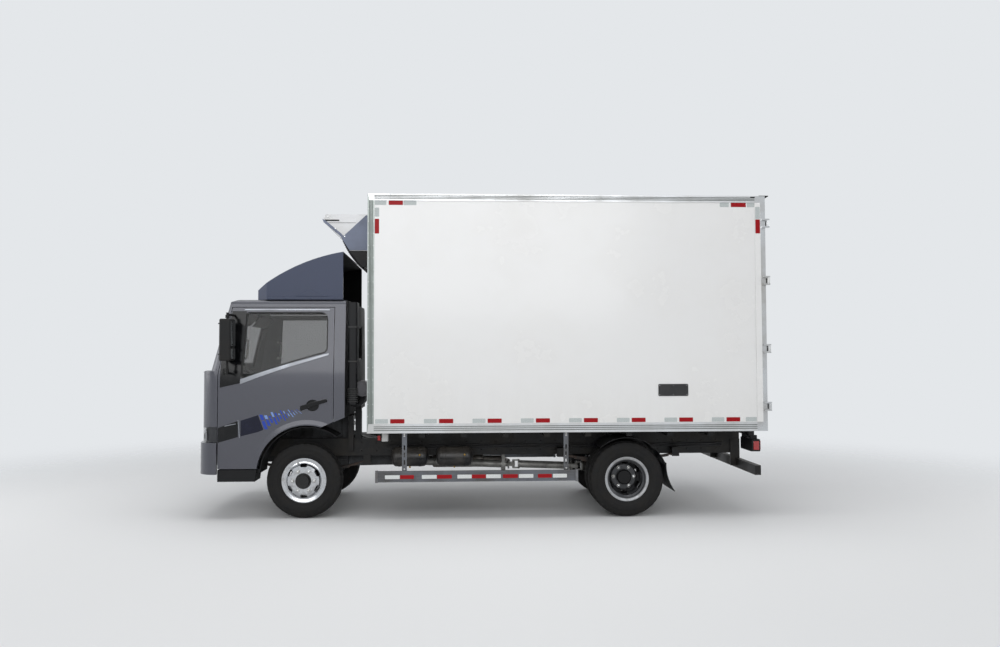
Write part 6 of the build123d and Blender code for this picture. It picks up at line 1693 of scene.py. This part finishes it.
pale_grip = surface(
    "moulded_ivory_grip", "#dcdcd8", "#c0beb6", (0.35, 0.5), patch=0.08, grain=0.0014, relief=0.00015
)["material"]
for side, word in ((1, "left"), (-1, "right")):
    grip = eased([
        (2.516, side * 0.893, 1.660), (2.462, side * 0.842, 1.666), (2.452, side * 0.822, 1.852),
        (2.508, side * 0.871, 1.858),
    ], 0.03)
    tube(f"{word}_grab_handle", [grip], 0.0125, pale_grip, f"{word}_cab_door")
visors = bmesh.new()
for low_y, high_y in ((0.08, 0.70), (-0.70, -0.08)):
    side_prism(
        visors, ((2.525, 2.140), (2.540, 2.140), (2.640, 2.030), (2.632, 2.022), (2.600, 2.040)), low_y, high_y
    )
make_piece("sun_visors", visors, headliner, "cab", edge=0.006)

# Seats: a driver's seat and a bench. Each is a moulded foam cushion and back in woven cloth,
# piped along its channels, on a moulded base, with headrests. The foam is swelled by a cloth
# simulation, and the piping is laid on afterwards.
seat_cloth = surface(
    "woven_grey_seat_cloth", "#3c3f45", "#4a4844", (0.85, 0.95), patch=0.12, grain=0.004,
    **{"Sheen Weight": 0.35, "Specular IOR Level": 0.2},
)
# the threads are drawn 7 mm apart, far coarser than they are, so that they show
weave = {"Vector": seat_cloth["spot"], "Scale": 1 / 0.022}
warp = add_node(seat_cloth["material"], "TexWave", weave, bands_direction="Y")
weft = add_node(seat_cloth["material"], "TexWave", weave, bands_direction="Z")
crossed = add_node(seat_cloth["material"], "Math", {0: warp.outputs[1], 1: weft.outputs[1]}, operation="MAXIMUM")
woven = add_node(seat_cloth["material"], "Bump", {
    "Height": crossed.outputs[0], "Strength": 0.8, "Distance": 0.0006, "Normal": seat_cloth["skin"].outputs[0],
})
thread = add_node(seat_cloth["material"], "Mix", {
    0: crossed.outputs[0], 6: linear("#2b2d31"), 7: seat_cloth["colour"].outputs[2],
}, data_type="RGBA")
relink(seat_cloth, "Normal", woven.outputs[0])
relink(seat_cloth, "Base Color", thread.outputs[2])
seat_cloth = seat_cloth["material"]
seat_x, seat_z = 1.862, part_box("seats")[0].z
swell_frames = 20


def cushion(name, outline, y, swell):
    """Makes one foam piece from a side outline between two y's, swelled by simulation."""
    form = bmesh.new()
    cells = max(3, int((y[1] - y[0]) / 0.05))
    rings = []
    middle = Vector((sum(p[0] for p in outline) / len(outline), 0, sum(p[1] for p in outline) / len(outline)))
    for step in range(cells + 1):
        t = step / cells
        draw_in = 0.012 * (abs(2 * t - 1) ** 6)
        ring = []
        for x, z in outline:
            place = Vector((x, 0, z))
            place += (middle - place).normalized() * draw_in
            ring.append(form.verts.new((place.x, y[0] + (y[1] - y[0]) * t, place.z)))
        rings.append(ring)
    skin_rings(form, rings)
    made = make_piece(name, form, seat_cloth, "cab")
    bpy.context.view_layer.objects.active = made
    rounding = made.modifiers.new("rounding", "BEVEL")
    rounding.width, rounding.segments = 0.022, 4
    rounding.limit_method, rounding.angle_limit = "ANGLE", math.radians(40)
    remesh = made.modifiers.new("remesh", "REMESH")
    remesh.mode, remesh.voxel_size = "VOXEL", 0.012
    for modifier in ("rounding", "remesh"):
        bpy.ops.object.modifier_apply(modifier=modifier)
    mesh = made.data
    before = [v.co.copy() for v in mesh.vertices]
    cloth = made.modifiers.new("foam", "CLOTH")
    cloth.settings.use_pressure = True
    cloth.settings.uniform_pressure_force = 4.0
    cloth.settings.quality = 5
    cloth.settings.effector_weights.gravity = 0.0
    cloth.point_cache.frame_start, cloth.point_cache.frame_end = 1, swell_frames
    for step in range(1, swell_frames + 1):
        bpy.context.scene.frame_set(step)
    bpy.ops.object.modifier_apply(modifier="foam")
    mesh = made.data
    bpy.context.scene.frame_set(1)
    for vertex, start in zip(mesh.vertices, before):
        moved = vertex.co - start
        if moved.length > swell:
            vertex.co = start + moved.normalized() * swell
    smooth = made.modifiers.new("smooth", "SUBSURF")
    smooth.levels = smooth.render_levels = 1
    mesh.shade_smooth()
    return made


def seated(*points):
    """Places points of a seat's side view, given from a mark on the deck below the back's foot."""
    return [(seat_x + x, seat_z + z) for x, z in points]


base_outline = seated((-0.150, 0.005), (0.292, 0.005), (0.300, 0.075), (-0.140, 0.060))
cushion_outline = seated(
    (-0.135, 0.066), (0.288, 0.080), (0.308, 0.120), (0.302, 0.158), (0.250, 0.166), (0.050, 0.152),
    (-0.098, 0.146),
)
back_outline = seated(
    (-0.176, 0.080), (-0.100, 0.162), (-0.120, 0.330), (-0.160, 0.520), (-0.198, 0.640), (-0.235, 0.668),
    (-0.280, 0.660), (-0.282, 0.600), (-0.230, 0.300),
)
rest_outline = seated(
    (-0.208, 0.715), (-0.222, 0.820), (-0.250, 0.838), (-0.300, 0.836), (-0.312, 0.800), (-0.300, 0.722),
    (-0.270, 0.706),
)
cushion_seam = seated((-0.095, 0.160), (0.060, 0.166), (0.250, 0.177), (0.306, 0.164), (0.316, 0.118))
back_seam = seated((-0.096, 0.170), (-0.112, 0.330), (-0.152, 0.520), (-0.190, 0.650), (-0.232, 0.680))
# seat, its sides, and the sides of its headrests
seat_rows = (
    ("driver", (0.256, 0.744), ((0.400, 0.600),)),
    ("bench", (-0.744, 0.104), ((-0.640, -0.440), (-0.190, 0.010))),
)
cushion_swell, rest_swell, foam_fill = 0.012, 0.006, 0.8
pieces, welts, frames, posts = [], [], bmesh.new(), []
for word, (low_y, high_y), rests in seat_rows:
    foam_y = (low_y + 0.008, high_y - 0.008)
    pieces.append(cushion(f"{word}_cushion", cushion_outline, foam_y, cushion_swell))
    pieces.append(cushion(f"{word}_back", back_outline, foam_y, cushion_swell))
    side_prism(frames, base_outline, low_y + 0.012, high_y - 0.012)
    for index, (rest_low, rest_high) in enumerate(rests):
        name = f"{word}_headrest_{index + 1}"
        pieces.append(cushion(name, rest_outline, (rest_low, rest_high), rest_swell))
        for post_y in (rest_low + 0.06, rest_high - 0.06):
            posts.append([(seat_x - 0.262, post_y, seat_z + 0.640), (seat_x - 0.266, post_y, seat_z + 0.725)])
    for piece, line in zip(pieces[-2 - len(rests):], (cushion_seam, back_seam)):
        mesh = piece.data
        skin = BVHTree.FromPolygons([v.co for v in mesh.vertices], [p.vertices for p in mesh.polygons])
        middle, bolster = (low_y + high_y) / 2, (high_y - low_y) / 2 - 0.085
        seam_y = (low_y + 0.020, middle - bolster, middle + bolster, high_y - 0.020)
        runs = [[(x, y, z) for x, z in line] for y in seam_y]
        for at in (0.30, 0.55, 0.78):
            x, z = [line[0][k] + (line[-1][k] - line[0][k]) * at for k in (0, 1)]
            runs.append([(x, middle - bolster, z), (x, middle + bolster, z)])
        for run in runs:
            laid = []
            for a, b in zip(run, run[1:]):
                for step in range(12):
                    where, normal, _, _ = skin.find_nearest(Vector(a).lerp(Vector(b), step / 11))
                    where += normal * 0.0005
                    if not laid or (where - laid[-1]).length > 0.004:
                        laid.append(where)
            welts.append(laid)
make_piece("seat_bases", frames, trim, "cab", edge=0.010)
tube("seat_welts", welts, 0.0026, rubber_seal, "cab")
tube("headrest_posts", posts, 0.006, zinc, "cab")
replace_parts(pieces[0], "seats")
